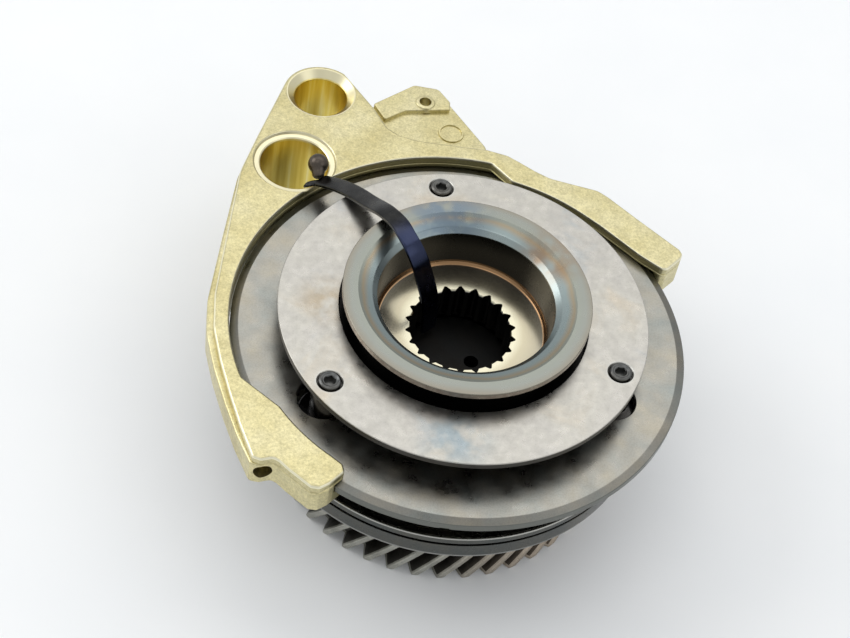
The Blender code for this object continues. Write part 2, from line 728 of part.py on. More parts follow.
def fork_outline(flare):
    """Round the outside from the left pad to the right tip, then back along the inner arc."""
    outer = []
    for x, y, grow in FORK_WALL:
        scale = 1 + flare * grow / math.hypot(x, y)
        outer.append((x * scale * MM, y * scale * MM))
    lobe = arc(13.8 * MM, 172, 62, 6, RAIL_BORE)
    back = millimetres([(-46.1, 92.9), (-39.2, 83.5), (-34.4, 80.8), (-26.7, 80.3), (-2.6, 83.0)])
    arm = millimetres(
        [
            (5.1, 82.2),
            (9.5, 80.3),
            (15.6, 77.4),
            (21.4, 75.6),
            (29.0, 75.0),
            (38.9, 74.0),
            (43.0, 71.8),
            (55.0, 63.6),
            (70.0, 53.7),
            (71.2, 51.8),
            (70.7, 49.6),
            (66.4, 43.3),
            (64.5, 42.9),
            (56.4, 47.1),
            (41.2, 57.3),
        ]
    )
    right_pad = arc(FORK_PAD_R, 61, 83, 4)
    inner = arc(FORK_ARC_R, 90, 211, 22)
    left_pad = arc(FORK_PAD_R, 223, 243, 4)
    tip = millimetres([(-28.1, -64.7), (-27.0, -67.4), (-30.6, -72.8), (-33.4, -75.4), (-36.2, -75.6)])
    end = millimetres([(-44.2, -70.8), (-47.6, -68.4), (-49.6, -67.7), (-53.0, -69.4)])
    return outer + lobe + back + arm + right_pad + inner + left_pad + tip + end


def bevel(obj, width):
    step = obj.modifiers.new("edges", "BEVEL")
    step.width = width
    step.segments = 1
    step.limit_method = "ANGLE"
    step.angle_limit = math.radians(60)


def shift_fork():
    finish = material("fork_brass", BRASS, 0.45, 1.0)
    fork = flat_piece("shift_fork", [fork_outline(0)], FORK_PARTING - MM, FORK_TOP, PARTS, finish)
    bevel(fork, 0.6 * MM)
    base = flat_piece("fork_base", [fork_outline(1)], FORK_BOTTOM, FORK_PARTING, CUTTERS)
    combine(fork, base, "UNION")
    clear = cylinder_cutter("arc_clearance", FORK_ARC_R, -20 * MM, 30 * MM, 66)
    bosses = (("rail_boss", RAIL_BORE, 13.3 * MM), ("detent_boss", DETENT_BORE, 15.4 * MM))
    for name, at, radius in bosses:
        boss = cylinder_cutter(name, radius, FORK_BOSS_BOTTOM, FORK_BOTTOM + 2 * MM, 24)
        boss.location.xy = at
        combine(boss, clear, "DIFFERENCE")
        combine(fork, boss, "UNION")
    lug = millimetres(
        [
            (-50.0, 86.0),
            (-46.4, 97.5),
            (-33.5, 111.4),
            (-24.3, 111.8),
            (-19.0, 106.3),
            (-2.6, 88.0),
            (-3.4, 80.0),
            (-26.0, 78.0),
            (-36.0, 79.0),
        ]
    )
    plate = flat_piece("fork_lug", [lug], FORK_BOTTOM + MM, LUG_TOP, CUTTERS)
    combine(fork, plate, "UNION")
    edge = [(-46.3, 97.4), (-41.0, 90.6), (-34.5, 97.2), (-29.5, 98.8), (-18.6, 102.4), (-19.1, 106.2), (-24.3, 111.6), (-33.4, 111.2)]
    rib = flat_piece("lug_rib", [millimetres(edge)], FORK_BOTTOM + 2 * MM, LUG_TOP + 1.6 * MM, CUTTERS)
    combine(fork, rib, "UNION")
    lug_hole = cylinder_cutter("lug_hole", 2.1 * MM, 0, 20 * MM, 16)
    cut(fork, lug_hole, (-28.0 * MM, 103.2 * MM))
    rail = cylinder_cutter("rail_bore", RAIL_BORE_R, -20 * MM, 30 * MM, 28)
    cut(fork, rail, RAIL_BORE)
    mouth = cylinder_cutter(
        "rail_mouth", RAIL_BORE_R, FORK_TOP - 2.6 * MM, FORK_TOP + 0.6 * MM, 28, RAIL_CHAMFER_R + 0.55 * MM
    )
    cut(fork, mouth, RAIL_BORE)
    cut(fork, cylinder_cutter("detent_bore", DETENT_BORE_R, -20 * MM, 30 * MM, 30), DETENT_BORE)
    mouth = cylinder_cutter("detent_mouth", DETENT_RING_R, FORK_TOP - 1.0 * MM, FORK_TOP + MM, 30)
    cut(fork, mouth, DETENT_BORE)
    # The pads straddle the sleeve's rim.
    cut(fork, cylinder_cutter("pad_slot", FORK_ARC_R, FORK_SLOT_BOTTOM, FORK_SLOT_TOP, 66))
    pin_hole = cylinder_cutter("pad_pin_hole", 3.0 * MM, -10 * MM, 7.5 * MM, 16)
    pin_hole.rotation_euler = (math.radians(-90), 0, math.radians(6))
    pin_hole.location = (-52.3 * MM, -68.0 * MM, 11.3 * MM)
    combine(fork, pin_hole, "DIFFERENCE")


# Retaining strap -------------------------------------------------------------------------

STRAP_ROUTE = [
    (-57.4, 49.0, 20.5),
    (-52.0, 46.0, 23.4),
    (-45.2, 40.6, 27.3),
    (-38.0, 33.2, 31.6),
    (-32.3, 26.6, 36.1),
    (-27.2, 20.6, 38.4),
    (-23.8, 15.6, 38.9),
    (-20.6, 12.3, 37.0),
    (-17.6, 10.6, 32.5),
    (-15.2, 9.8, 26.5),
    (-13.0, 9.1, 20.5),
    (-11.6, 8.6, 15.5),
    (-10.9, 8.2, 10.0),
    (-10.6, 8.0, 3.0),
]
STRAP_WIDTHS = [6.4, 6.7, 6.8, 6.7, 6.5, 6.4, 6.4, 6.6, 6.9, 7.0, 7.0, 6.8, 6.6, 6.2]


def spline_point(values, position):
    """Catmull-Rom through a list of vectors, at a position counted in list steps."""
    index = min(int(position), len(values) - 2)
    t = position - index
    before = values[max(index - 1, 0)]
    here = values[index]
    there = values[index + 1]
    after = values[min(index + 2, len(values) - 1)]
    part = (there - before) * t
    part += (before * 2 - here * 5 + there * 4 - after) * (t * t)
    part += (here * 3 - before - there * 3 + after) * (t**3)
    return here + part * 0.5


def strap():
    finish = material("strap_black", BLACK, 0.3, 0.0)
    route = [Vector(point) * MM for point in STRAP_ROUTE]
    widths = [Vector((width * MM, 0, 0)) for width in STRAP_WIDTHS]
    steps = 2 * (len(route) - 1)
    across = Vector((route[0].y, -route[0].x, 0)).normalized()
    shape = bmesh.new()
    rows = []
    for step in range(steps + 1):
        position = step / 2
        here = spline_point(route, position)
        ahead = spline_point(route, min(position + 0.1, len(route) - 1))
        behind = spline_point(route, max(position - 0.1, 0))
        tangent = (ahead - behind).normalized()
        normal = tangent.cross(across).normalized()
        side = normal.cross(tangent) * (spline_point(widths, position).x / 2)
        lift = normal * (STRAP_THICK / 2)
        corners = (side + lift * 0.4, side * 0.84 + lift, side * -0.84 + lift, side * -1 + lift * 0.4)
        corners += (side * -1 - lift * 0.4, side * -0.84 - lift, side * 0.84 - lift, side - lift * 0.4)
        rows.append([shape.verts.new(here + corner) for corner in corners])
    for first, second in zip(rows, rows[1:]):
        for k in range(8):
            near = (k + 1) % 8
            shape.faces.new((first[k], first[near], second[near], second[k]))
    shape.faces.new(reversed(rows[0]))
    shape.faces.new(rows[-1])
    bmesh.ops.recalc_face_normals(shape, faces=shape.faces)
    mesh = bpy.data.meshes.new("retaining_strap")
    shape.to_mesh(mesh)
    shape.free()
    place(bpy.data.objects.new("retaining_strap", mesh), PARTS, finish)


def strap_ball():
    """A ball on a short neck, which points at the end of the strap."""
    radius = BALL_R / MM
    profile = [(0, radius)]
    profile += [(radius * math.sin(angle), radius * math.cos(angle)) for angle in (0.45, 0.9, 1.35, 1.8, 2.25, 2.65)]
    profile += [(BALL_NECK_R / MM, -BALL_REACH / MM), (0, -BALL_REACH / MM)]
    ball = turned_solid("strap_ball", profile, 16, PARTS, material("ball_steel", DARK_STEEL, 0.35, 0.6))
    ball.location = BALL_CENTRE
    ball.rotation_mode = "QUATERNION"
    ball.rotation_quaternion = (BALL_CENTRE - BALL_AIM).to_track_quat("Z", "Y")


sun_hub()
shaft_stop()
lower_circlip()
top_plate()
guides()
shift_sleeve()
carrier_cage(carrier_drum())
thrust_washers()
planets()
output_gear()
shift_fork()
strap()
strap_ball()

for part in PARTS.objects:
    part.data.shade_smooth()
    part.data.set_sharp_from_angle(angle=math.radians(35))
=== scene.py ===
"""Looks of the planetary gear set with its sliding sleeve and shift fork.

Everything is in the row frame: metres, +Z up the gear axis, the origin on the stop disc inside
the splined bore. Sizes below are in millimetres and go through MM.
"""

import json
import math

import bmesh
import bpy
from mathutils import Matrix, Vector

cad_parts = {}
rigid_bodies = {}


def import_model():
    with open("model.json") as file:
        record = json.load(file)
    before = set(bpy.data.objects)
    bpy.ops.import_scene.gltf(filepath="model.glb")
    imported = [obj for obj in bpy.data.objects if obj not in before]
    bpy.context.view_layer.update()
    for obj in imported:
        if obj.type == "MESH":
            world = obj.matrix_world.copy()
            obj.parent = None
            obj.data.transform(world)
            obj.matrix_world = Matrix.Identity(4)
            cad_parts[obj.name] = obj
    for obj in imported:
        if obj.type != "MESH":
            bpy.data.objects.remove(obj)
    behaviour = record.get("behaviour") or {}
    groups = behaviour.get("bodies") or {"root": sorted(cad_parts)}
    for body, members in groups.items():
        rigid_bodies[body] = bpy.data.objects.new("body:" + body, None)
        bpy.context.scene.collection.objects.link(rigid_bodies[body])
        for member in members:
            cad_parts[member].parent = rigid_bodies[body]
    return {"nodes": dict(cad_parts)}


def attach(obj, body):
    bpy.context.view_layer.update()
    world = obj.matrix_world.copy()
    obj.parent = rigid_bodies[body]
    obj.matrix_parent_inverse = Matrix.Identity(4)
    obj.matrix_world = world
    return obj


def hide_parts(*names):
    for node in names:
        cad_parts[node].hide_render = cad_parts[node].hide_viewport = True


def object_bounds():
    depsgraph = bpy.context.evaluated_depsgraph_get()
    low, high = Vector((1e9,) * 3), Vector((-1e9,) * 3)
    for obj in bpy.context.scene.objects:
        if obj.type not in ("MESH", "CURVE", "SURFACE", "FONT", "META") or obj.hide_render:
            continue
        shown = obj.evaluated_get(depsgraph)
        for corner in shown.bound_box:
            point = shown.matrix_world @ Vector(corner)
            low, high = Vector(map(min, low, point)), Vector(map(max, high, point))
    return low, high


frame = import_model()
cad_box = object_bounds()

MM = 0.001
WORK = bpy.data.collections.new("construction")
SHOWN = bpy.data.collections.new("looks")
bpy.context.scene.collection.children.link(SHOWN)
bpy.context.scene.collection.children.link(WORK)


# ---------------------------------------------------------------- outlines and profiles


def polar(radius, angle, centre=(0.0, 0.0)):
    return (centre[0] + radius * math.cos(angle), centre[1] + radius * math.sin(angle))


def circle(radius, steps, centre=(0.0, 0.0)):
    return [polar(radius, math.tau * k / steps, centre) for k in range(steps)]


def arc(radius, start, end, steps, centre=(0.0, 0.0)):
    turn = math.radians(end - start) / steps
    return [polar(radius, math.radians(start) + turn * k, centre) for k in range(steps + 1)]


def rounded(points, radius, steps=4, closed=True):
    """The same path with its corners rounded. A point may carry its own radius as a third number."""
    out = []
    count = len(points)
    for index, point in enumerate(points):
        here = Vector(point[:2])
        own = point[2] if len(point) > 2 else radius
        if own <= 0 or (not closed and index in (0, count - 1)):
            out.append(tuple(here))
            continue
        before = Vector(points[index - 1][:2]) - here
        after = Vector(points[(index + 1) % count][:2]) - here
        if before.length < 1e-9 or after.length < 1e-9:
            out.append(tuple(here))
            continue
        turn = math.pi - before.angle(after)
        if turn < math.radians(3):
            out.append(tuple(here))
            continue
        reach = min(own * math.tan(turn / 2), 0.45 * before.length, 0.45 * after.length)
        first = here + before.normalized() * reach
        last = here + after.normalized() * reach
        for k in range(steps + 1):
            t = k / steps
            spot = first * (1 - t) ** 2 + here * (2 * t * (1 - t)) + last * t**2
            out.append(tuple(spot))
    return out


# ---------------------------------------------------------------- meshes


def new_object(name, shape, where=None):
    """A mesh object from shape, among the looks unless where says otherwise."""
    mesh = bpy.data.meshes.new(name)
    bmesh.ops.recalc_face_normals(shape, faces=shape.faces)
    shape.to_mesh(mesh)
    shape.free()
    obj = bpy.data.objects.new(name, mesh)
    (where or SHOWN).objects.link(obj)
    return obj


def turned(name, profile, steps=240, where=None, at=(0.0, 0.0)):
    """A body turned from a profile of (radius, height) in mm. Points at radius 0 close it on the axis."""
    shape = bmesh.new()
    rows = []
    for radius, height in profile:
        if radius < 1e-6:
            rows.append([shape.verts.new((at[0] * MM, at[1] * MM, height * MM))])
            continue
        loop = circle(radius, steps, at)
        rows.append([shape.verts.new((x * MM, y * MM, height * MM)) for x, y in loop])
    solid = len(rows[0]) == 1 or len(rows[-1]) == 1
    pairs = list(zip(rows, rows[1:]))
    if not solid:
        pairs.append((rows[-1], rows[0]))
    for upper, lower in pairs:
        for k in range(steps):
            near = (k + 1) % steps
            if len(upper) == 1 and len(lower) == 1:
                continue
            if len(upper) == 1:
                shape.faces.new((upper[0], lower[k], lower[near]))
            elif len(lower) == 1:
                shape.faces.new((upper[k], lower[0], upper[near]))
            else:
                shape.faces.new((upper[k], lower[k], lower[near], upper[near]))
    return new_object(name, shape, where)


def slab(name, loops, bottom, top, edge=0.0, segments=3, where=None):
    """A flat piece from closed outlines in mm, its edges rounded by edge mm, welded into one mesh."""
    curve = bpy.data.curves.new(name, "CURVE")
    curve.dimensions = "2D"
    curve.fill_mode = "BOTH"
    curve.extrude = ((top - bottom) / 2 - edge) * MM
    curve.bevel_depth = edge * MM
    curve.offset = -edge * MM
    curve.bevel_resolution = segments
    for loop in loops:
        line = curve.splines.new("POLY")
        line.points.add(len(loop) - 1)
        for point, (x, y) in zip(line.points, loop):
            point.co = (x * MM, y * MM, 0, 1)
        line.use_cyclic_u = True
    guide = bpy.data.objects.new(name + "_guide", curve)
    guide.location.z = (top + bottom) / 2 * MM
    WORK.objects.link(guide)
    bpy.context.view_layer.update()
    graph = bpy.context.evaluated_depsgraph_get()
    mesh = bpy.data.meshes.new_from_object(guide.evaluated_get(graph))
    shape = bmesh.new()
    shape.from_mesh(mesh)
    bmesh.ops.transform(shape, matrix=guide.matrix_world, verts=shape.verts)
    bmesh.ops.remove_doubles(shape, verts=shape.verts, dist=0.002 * MM)
    bpy.data.objects.remove(guide)
    return new_object(name, shape, where)


def loft(name, levels, where=None):
    """A solid through closed loops of equal length, each a list of 3-D points in mm."""
    shape = bmesh.new()
    rows = [[shape.verts.new(Vector(point) * MM) for point in loop] for loop in levels]
    count = len(rows[0])
    for lower, upper in zip(rows, rows[1:]):
        for k in range(count):
            near = (k + 1) % count
            shape.faces.new((lower[k], lower[near], upper[near], upper[k]))
    shape.faces.new(list(reversed(rows[0])))
    shape.faces.new(rows[-1])
    return new_object(name, shape, where)


def combine(obj, others, operation="DIFFERENCE"):
    """Boolean steps, applied at once."""
    for other in others:
        step = obj.modifiers.new("step", "BOOLEAN")
        step.operation = operation
        step.object = other
        step.solver = "EXACT"
    bpy.context.view_layer.update()
    graph = bpy.context.evaluated_depsgraph_get()
    mesh = bpy.data.meshes.new_from_object(obj.evaluated_get(graph))
    obj.modifiers.clear()
    obj.data = mesh
    for other in others:
        bpy.data.objects.remove(other)
    return obj


def finish_piece(obj, body, nodes, finish, sharp=32):
    """Shading, material and place in the assembly. A piece with two materials keeps its own."""
    mesh = obj.data
    if finish is not None:
        mesh.materials.clear()
        mesh.materials.append(finish)
    mesh.shade_smooth()
    mesh.set_sharp_from_angle(angle=math.radians(sharp))
    weighted = obj.modifiers.new("weighted", "WEIGHTED_NORMAL")
    weighted.keep_sharp = True
    weighted.weight = 60
    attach(obj, body)
    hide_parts(*nodes)


GUIDE_R = 54.85  # radius of the guide pins' circle, mm
GUIDES = [106.7, 226.7, 346.7]  # their angles, degrees


def guide_spots(turn=0.0):
    return [polar(GUIDE_R, math.radians(angle + turn)) for angle in GUIDES]


# ---------------------------------------------------------------- materials


class Finish:
    """A node material, built up a node at a time."""

    def __init__(self, name, colour, roughness, metallic=1.0, **shader):
        self.material = bpy.data.materials.new(name)
        self.material.use_nodes = True
        self.tree = self.material.node_tree
        self.shader = self.tree.nodes["Principled BSDF"]
        self.shader.inputs["Base Color"].default_value = (*colour, 1)
        self.shader.inputs["Roughness"].default_value = roughness
        self.shader.inputs["Metallic"].default_value = metallic
        for key, value in shader.items():
            self.shader.inputs[key.replace("_", " ")].default_value = value
        self.place = self.node("ShaderNodeTexCoord").outputs["Object"]
        self.height = None

    def node(self, kind, **settings):
        made = self.tree.nodes.new(kind)
        for key, value in settings.items():
            setattr(made, key, value)
        return made

    def feed(self, node, index, value):
        if isinstance(value, bpy.types.NodeSocket):
            self.tree.links.new(value, node.inputs[index])
        else:
            node.inputs[index].default_value = value

    def maths(self, operation, first, second=0.0, third=0.0):
        made = self.node("ShaderNodeMath", operation=operation)
        self.feed(made, 0, first)
        self.feed(made, 1, second)
        self.feed(made, 2, third)
        return made.outputs[0]

    def noise(self, size_mm, detail=3.0, roughness=0.55, stretch=(1, 1, 1), distortion=0.0):
        """Noise from 0 to 1 whose features are about size_mm across."""
        mapping = self.node("ShaderNodeMapping")
        mapping.inputs["Scale"].default_value = stretch
        self.feed(mapping, 0, self.place)
        made = self.node("ShaderNodeTexNoise")
        made.inputs["Scale"].default_value = 1000 / size_mm
        made.inputs["Detail"].default_value = detail
        made.inputs["Roughness"].default_value = roughness
        made.inputs["Distortion"].default_value = distortion
        self.feed(made, "Vector", mapping.outputs[0])
        return made.outputs["Fac"]

    def axes(self):
        split = self.node("ShaderNodeSeparateXYZ")
        self.feed(split, 0, self.place)
        return split.outputs

    def radius(self):
        """Distance from the gear axis in mm."""
        x, y, _ = self.axes()
        squares = self.maths("ADD", self.maths("MULTIPLY", x, x), self.maths("MULTIPLY", y, y))
        return self.maths("MULTIPLY", self.maths("SQRT", squares), 1000)

    def level(self):
        """Height on the gear axis in mm."""
        return self.maths("MULTIPLY", self.axes()[2], 1000)

    def range(self, value, low, high, to_low=0.0, to_high=1.0, smooth=True):
        made = self.node("ShaderNodeMapRange")
        if smooth:
            made.interpolation_type = "SMOOTHSTEP"
        self.feed(made, 0, value)
        for index, number in enumerate((low, high, to_low, to_high), 1):
            made.inputs[index].default_value = number
        return made.outputs[0]

    def spot(self, centre, inner, outer):
        """1 within inner mm of a point, 0 beyond outer mm."""
        away = self.node("ShaderNodeVectorMath", operation="DISTANCE")
        self.feed(away, 0, self.place)
        away.inputs[1].default_value = [value * MM for value in centre]
        return self.range(away.outputs["Value"], inner * MM, outer * MM, 1.0, 0.0)

    def mix(self, amount, first, second, blend="MIX"):
        made = self.node("ShaderNodeMix", data_type="RGBA", blend_type=blend)
        self.feed(made, 0, amount)
        for index, value in ((6, first), (7, second)):
            if isinstance(value, tuple) and len(value) == 3:
                value = (*value, 1)
            self.feed(made, index, value)
        return made.outputs[2]

    def ramp(self, value, stops):
        made = self.node("ShaderNodeValToRGB")
        elements = made.color_ramp.elements
        while len(elements) < len(stops):
            elements.new(0.5)
        for element, (position, colour) in zip(elements, stops):
            element.position = position
            element.color = (*colour, 1)
        self.feed(made, 0, value)
        return made.outputs[0]

    def scale(self, colour, factor):
        """A colour made lighter or darker by a number."""
        made = self.node("ShaderNodeVectorMath", operation="SCALE")
        self.feed(made, 0, colour)
        self.feed(made, "Scale", factor)
        return made.outputs[0]

    def colour(self, value):
        self.feed(self.shader, "Base Color", value)

    def rough(self, value, low, high):
        self.feed(self.shader, "Roughness", self.range(value, 0.3, 0.7, low, high, False))

    def bump(self, value, depth_mm, strength=1.0):
        """Relief of depth_mm, laid over any relief already there."""
        made = self.node("ShaderNodeBump")
        made.inputs["Strength"].default_value = strength
        made.inputs["Distance"].default_value = depth_mm * MM
        self.feed(made, "Height", value)
        if self.height is not None:
            self.feed(made, "Normal", self.height)
        self.height = made.outputs[0]
        self.feed(self.shader, "Normal", self.height)

    def rings(self, spacing_mm):
        """Fine turning lines round the gear axis, from 0 to 1."""
        made = self.node("ShaderNodeTexNoise", noise_dimensions="2D")
        made.inputs["Scale"].default_value = 1.0
        made.inputs["Detail"].default_value = 2.0
        join = self.node("ShaderNodeCombineXYZ")
        self.feed(join, 0, self.maths("DIVIDE", self.radius(), spacing_mm))
        self.feed(join, 1, self.maths("DIVIDE", self.level(), spacing_mm))
        self.feed(made, "Vector", join.outputs[0])
        return made.outputs["Fac"]


WARM = (1.06, 1.0, 0.9)
COOL = (0.92, 1.0, 1.06)


def steel(name, colour, roughness, cloud=0.12, ring=0.0):
    """Plain steel with cloudy tone, smears in its roughness, fine grain and turning lines."""
    made = Finish(name, colour, roughness)
    big = made.noise(14, 4.0)
    warmer = tuple(c * w * (1 + cloud) for c, w in zip(colour, WARM))
    cooler = tuple(c * w * (1 - cloud) for c, w in zip(colour, COOL))
    tone = made.ramp(big, [(0.3, cooler), (0.5, colour), (0.72, warmer)])
    grain = made.noise(0.5, 2.0)
    dark = made.range(grain, 0.35, 0.6, 0.90, 1.0)
    made.colour(made.mix(1.0, tone, made.ramp(dark, [(0, (0, 0, 0)), (1, (1, 1, 1))]), "MULTIPLY"))
    made.rough(made.noise(6, 3.0), roughness - 0.07, roughness + 0.08)
    if ring:
        made.bump(made.rings(0.35), 0.006, ring)
    made.bump(made.noise(0.35, 2.0), 0.006, 0.5)
    return made


def plate_finish():
    """Ground sheet steel: light, faintly clouded with blue and tan heat tints."""
    made = Finish("plate_steel", (0.60, 0.59, 0.56), 0.42)
    clouds = made.noise(26, 5.0, 0.6, distortion=0.6)
    tone = made.ramp(
        clouds,
        [
            (0.28, (0.40, 0.42, 0.415)),
            (0.42, (0.48, 0.46, 0.42)),
            (0.55, (0.50, 0.48, 0.43)),
            (0.72, (0.51, 0.46, 0.38)),
        ],
    )
    # A darker bluish patch towards the front of the plate.
    ragged = made.range(made.noise(9, 3.0), 0.35, 0.6)
    bluish = made.maths("MULTIPLY", made.spot((4, -52, 25), 2, 16), ragged)
    tone = made.mix(made.maths("MULTIPLY", bluish, 0.75), tone, (0.25, 0.32, 0.36))
    ragged = made.range(made.noise(8, 3.0), 0.3, 0.6)
    tan = made.maths("MULTIPLY", made.spot((-44, -8, 25), 2, 15), ragged)
    tone = made.mix(made.maths("MULTIPLY", tan, 0.6), tone, (0.34, 0.26, 0.16))
    smudge = made.range(made.noise(2.6, 5.0, 0.65), 0.32, 0.68, 0.91, 1.06, False)
    tone = made.scale(tone, smudge)
    tone = made.scale(tone, made.range(made.noise(0.45, 3.0, 0.7), 0.30, 0.48, 0.88, 1.0))
    for at in guide_spots():
        halo = made.maths("MULTIPLY", made.spot((*at, 25.5), 4.4, 5.3), 0.35)
        tone = made.mix(halo, tone, (0.52, 0.53, 0.51))
    # Painted shade: below the top face (the plate's side, underside and hole walls) the colour is painted
    # near-black.
    side = made.range(made.level(), 25.05, 25.25, 1.0, 0.0)
    tone = made.mix(side, tone, (0.13, 0.125, 0.12))
    made.colour(tone)
    made.rough(made.noise(5, 4.0), 0.24, 0.40)
    made.bump(made.noise(0.7, 2.0, 0.5, (1, 0.04, 1)), 0.004, 0.5)
    made.bump(made.noise(0.6, 3.0), 0.014, 0.6)
    return made


def hub_finish():
    """Hardened steel with temper colours in bands and patches round the collar."""
    made = Finish("hub_steel", (0.40, 0.40, 0.37), 0.3)
    radius = made.radius()
    wobble = made.maths("MULTIPLY", made.maths("SUBTRACT", made.noise(22, 3.0), 0.5), 3.2)
    at = made.maths("ADD", radius, wobble)
    share = made.range(at, 16.0, 42.0, 0.0, 1.0, False)

    def stop(r, colour):
        return ((r - 16.0) / 26.0, colour)

    bands = made.ramp(
        share,
        [
            stop(18.3, (0.66, 0.62, 0.46)),
            stop(21.0, (0.50, 0.45, 0.32)),
            stop(25.0, (0.42, 0.38, 0.28)),
            stop(28.0, (0.36, 0.33, 0.26)),
            stop(29.4, (0.30, 0.35, 0.345)),
            stop(32.6, (0.29, 0.345, 0.34)),
            stop(34.4, (0.36, 0.30, 0.21)),
            stop(35.4, (0.28, 0.295, 0.255)),
            stop(38.5, (0.275, 0.285, 0.255)),
            stop(40.8, (0.27, 0.25, 0.205)),
        ],
    )
    ragged = made.range(made.noise(7, 2.0), 0.25, 0.72)
    patch = made.maths("MULTIPLY", made.spot((24, 23, 32), 3, 15), ragged)
    bands = made.mix(made.maths("MULTIPLY", patch, 0.75), bands, (0.26, 0.155, 0.08))
    ragged = made.range(made.noise(7, 3.0), 0.3, 0.6)
    patch = made.maths("MULTIPLY", made.spot((-12, 32, 32), 4, 20), ragged)
    bands = made.mix(made.maths("MULTIPLY", patch, 0.7), bands, (0.13, 0.18, 0.24))
    # Painted shade: below the mouth the bore wall is painted near-black, and a painted orange highlight line
    # runs where it meets the floor.
    level = made.level()
    past = made.range(radius, 28.3, 28.6, 0.0, 1.0)
    wall = made.maths("MULTIPLY", made.range(level, 29.9, 30.3, 1.0, 0.0), past)
    bands = made.mix(wall, bands, (0.040, 0.038, 0.036))
    # Painted highlight: the orange line at the foot of the bore wall.
    past = made.range(radius, 27.3, 27.9, 0.0, 1.0)
    line = made.maths("MULTIPLY", made.range(level, 17.4, 18.0, 1.0, 0.0), past)
    bands = made.mix(line, bands, (0.34, 0.20, 0.10))
    # Painted shade: the splined bore below the floor is painted dark grey.
    within = made.range(radius, 20.5, 21.0, 1.0, 0.0)
    inside = made.maths("MULTIPLY", made.range(level, 15.3, 15.7, 1.0, 0.0), within)
    bands = made.mix(inside, bands, (0.12, 0.12, 0.115))
    # The collar's edge is brown-black; the neck under it is painted near-black, as painted shade under the
    # collar.
    edge = made.maths("MULTIPLY", made.range(level, 33.4, 33.7, 1.0, 0.0), made.range(radius, 40.8, 40.95))
    scuffs = made.noise(2.2, 4.0, 0.7)
    edge_tone = made.ramp(
        scuffs,
        [(0.35, (0.30, 0.25, 0.21)), (0.62, (0.40, 0.35, 0.30)), (0.76, (0.85, 0.80, 0.74))],
    )
    bands = made.mix(edge, bands, edge_tone)
    # Painted shade under the collar: the neck is painted near-black.
    neck = made.maths("MULTIPLY", made.range(level, 31.75, 31.85, 1.0, 0.0), made.range(radius, 35.9, 36.2))
    bands = made.mix(neck, bands, (0.018, 0.017, 0.016))
    made.colour(bands)
    inner = made.range(radius, 27.0, 29.6)
    smears = made.maths("MULTIPLY", made.noise(5, 3.0), 0.08)
    made.feed(
        made.shader, "Roughness", made.maths("ADD", made.range(inner, 0.0, 1.0, 0.15, 0.24), smears)
    )
    made.bump(made.rings(0.3), 0.004, 0.35)
    made.bump(made.noise(0.5, 2.0), 0.005, 0.35)
    return made


def sleeve_finish():
    """Turned steel, warm grey on top, with painted shade darkening its chamfer and rim."""
    made = steel("sleeve_steel", (0.365, 0.352, 0.31), 0.32, 0.07, 0.6)
    tone = made.shader.inputs["Base Color"].links[0].from_socket
    # Painted shade: the chamfer is painted darker and the outer rim dark grey.
    chamfer = made.range(made.radius(), 73.3, 73.8)
    tone = made.scale(tone, made.maths("SUBTRACT", 1.0, made.maths("MULTIPLY", chamfer, 0.42)))
    rim = made.range(made.radius(), 75.9, 76.05)
    tone = made.mix(rim, tone, (0.15, 0.155, 0.14))
    made.colour(tone)
    return made


def drum_finish():
    """Turned steel with a painted highlight line along its top edge and bands of darker grey down its side.
    """
    made = steel("drum_steel", (0.10, 0.102, 0.094), 0.26, 0.10, 0.5)
    tone = made.shader.inputs["Base Color"].links[0].from_socket
    level = made.level()
    # Painted highlight: a bright line painted along the drum's rounded top edge.
    edge = made.maths("MULTIPLY", made.range(level, -8.3, -8.0), made.range(made.radius(), 66.4, 66.8))
    tone = made.mix(edge, tone, (0.42, 0.42, 0.39))
    outermost = made.range(made.radius(), 66.9, 67.1)
    low = made.maths("MULTIPLY", made.range(level, -16.9, -16.6, 1.0, 0.0), outermost)
    tone = made.mix(low, tone, (0.30, 0.30, 0.285))
    made.colour(tone)
    return made


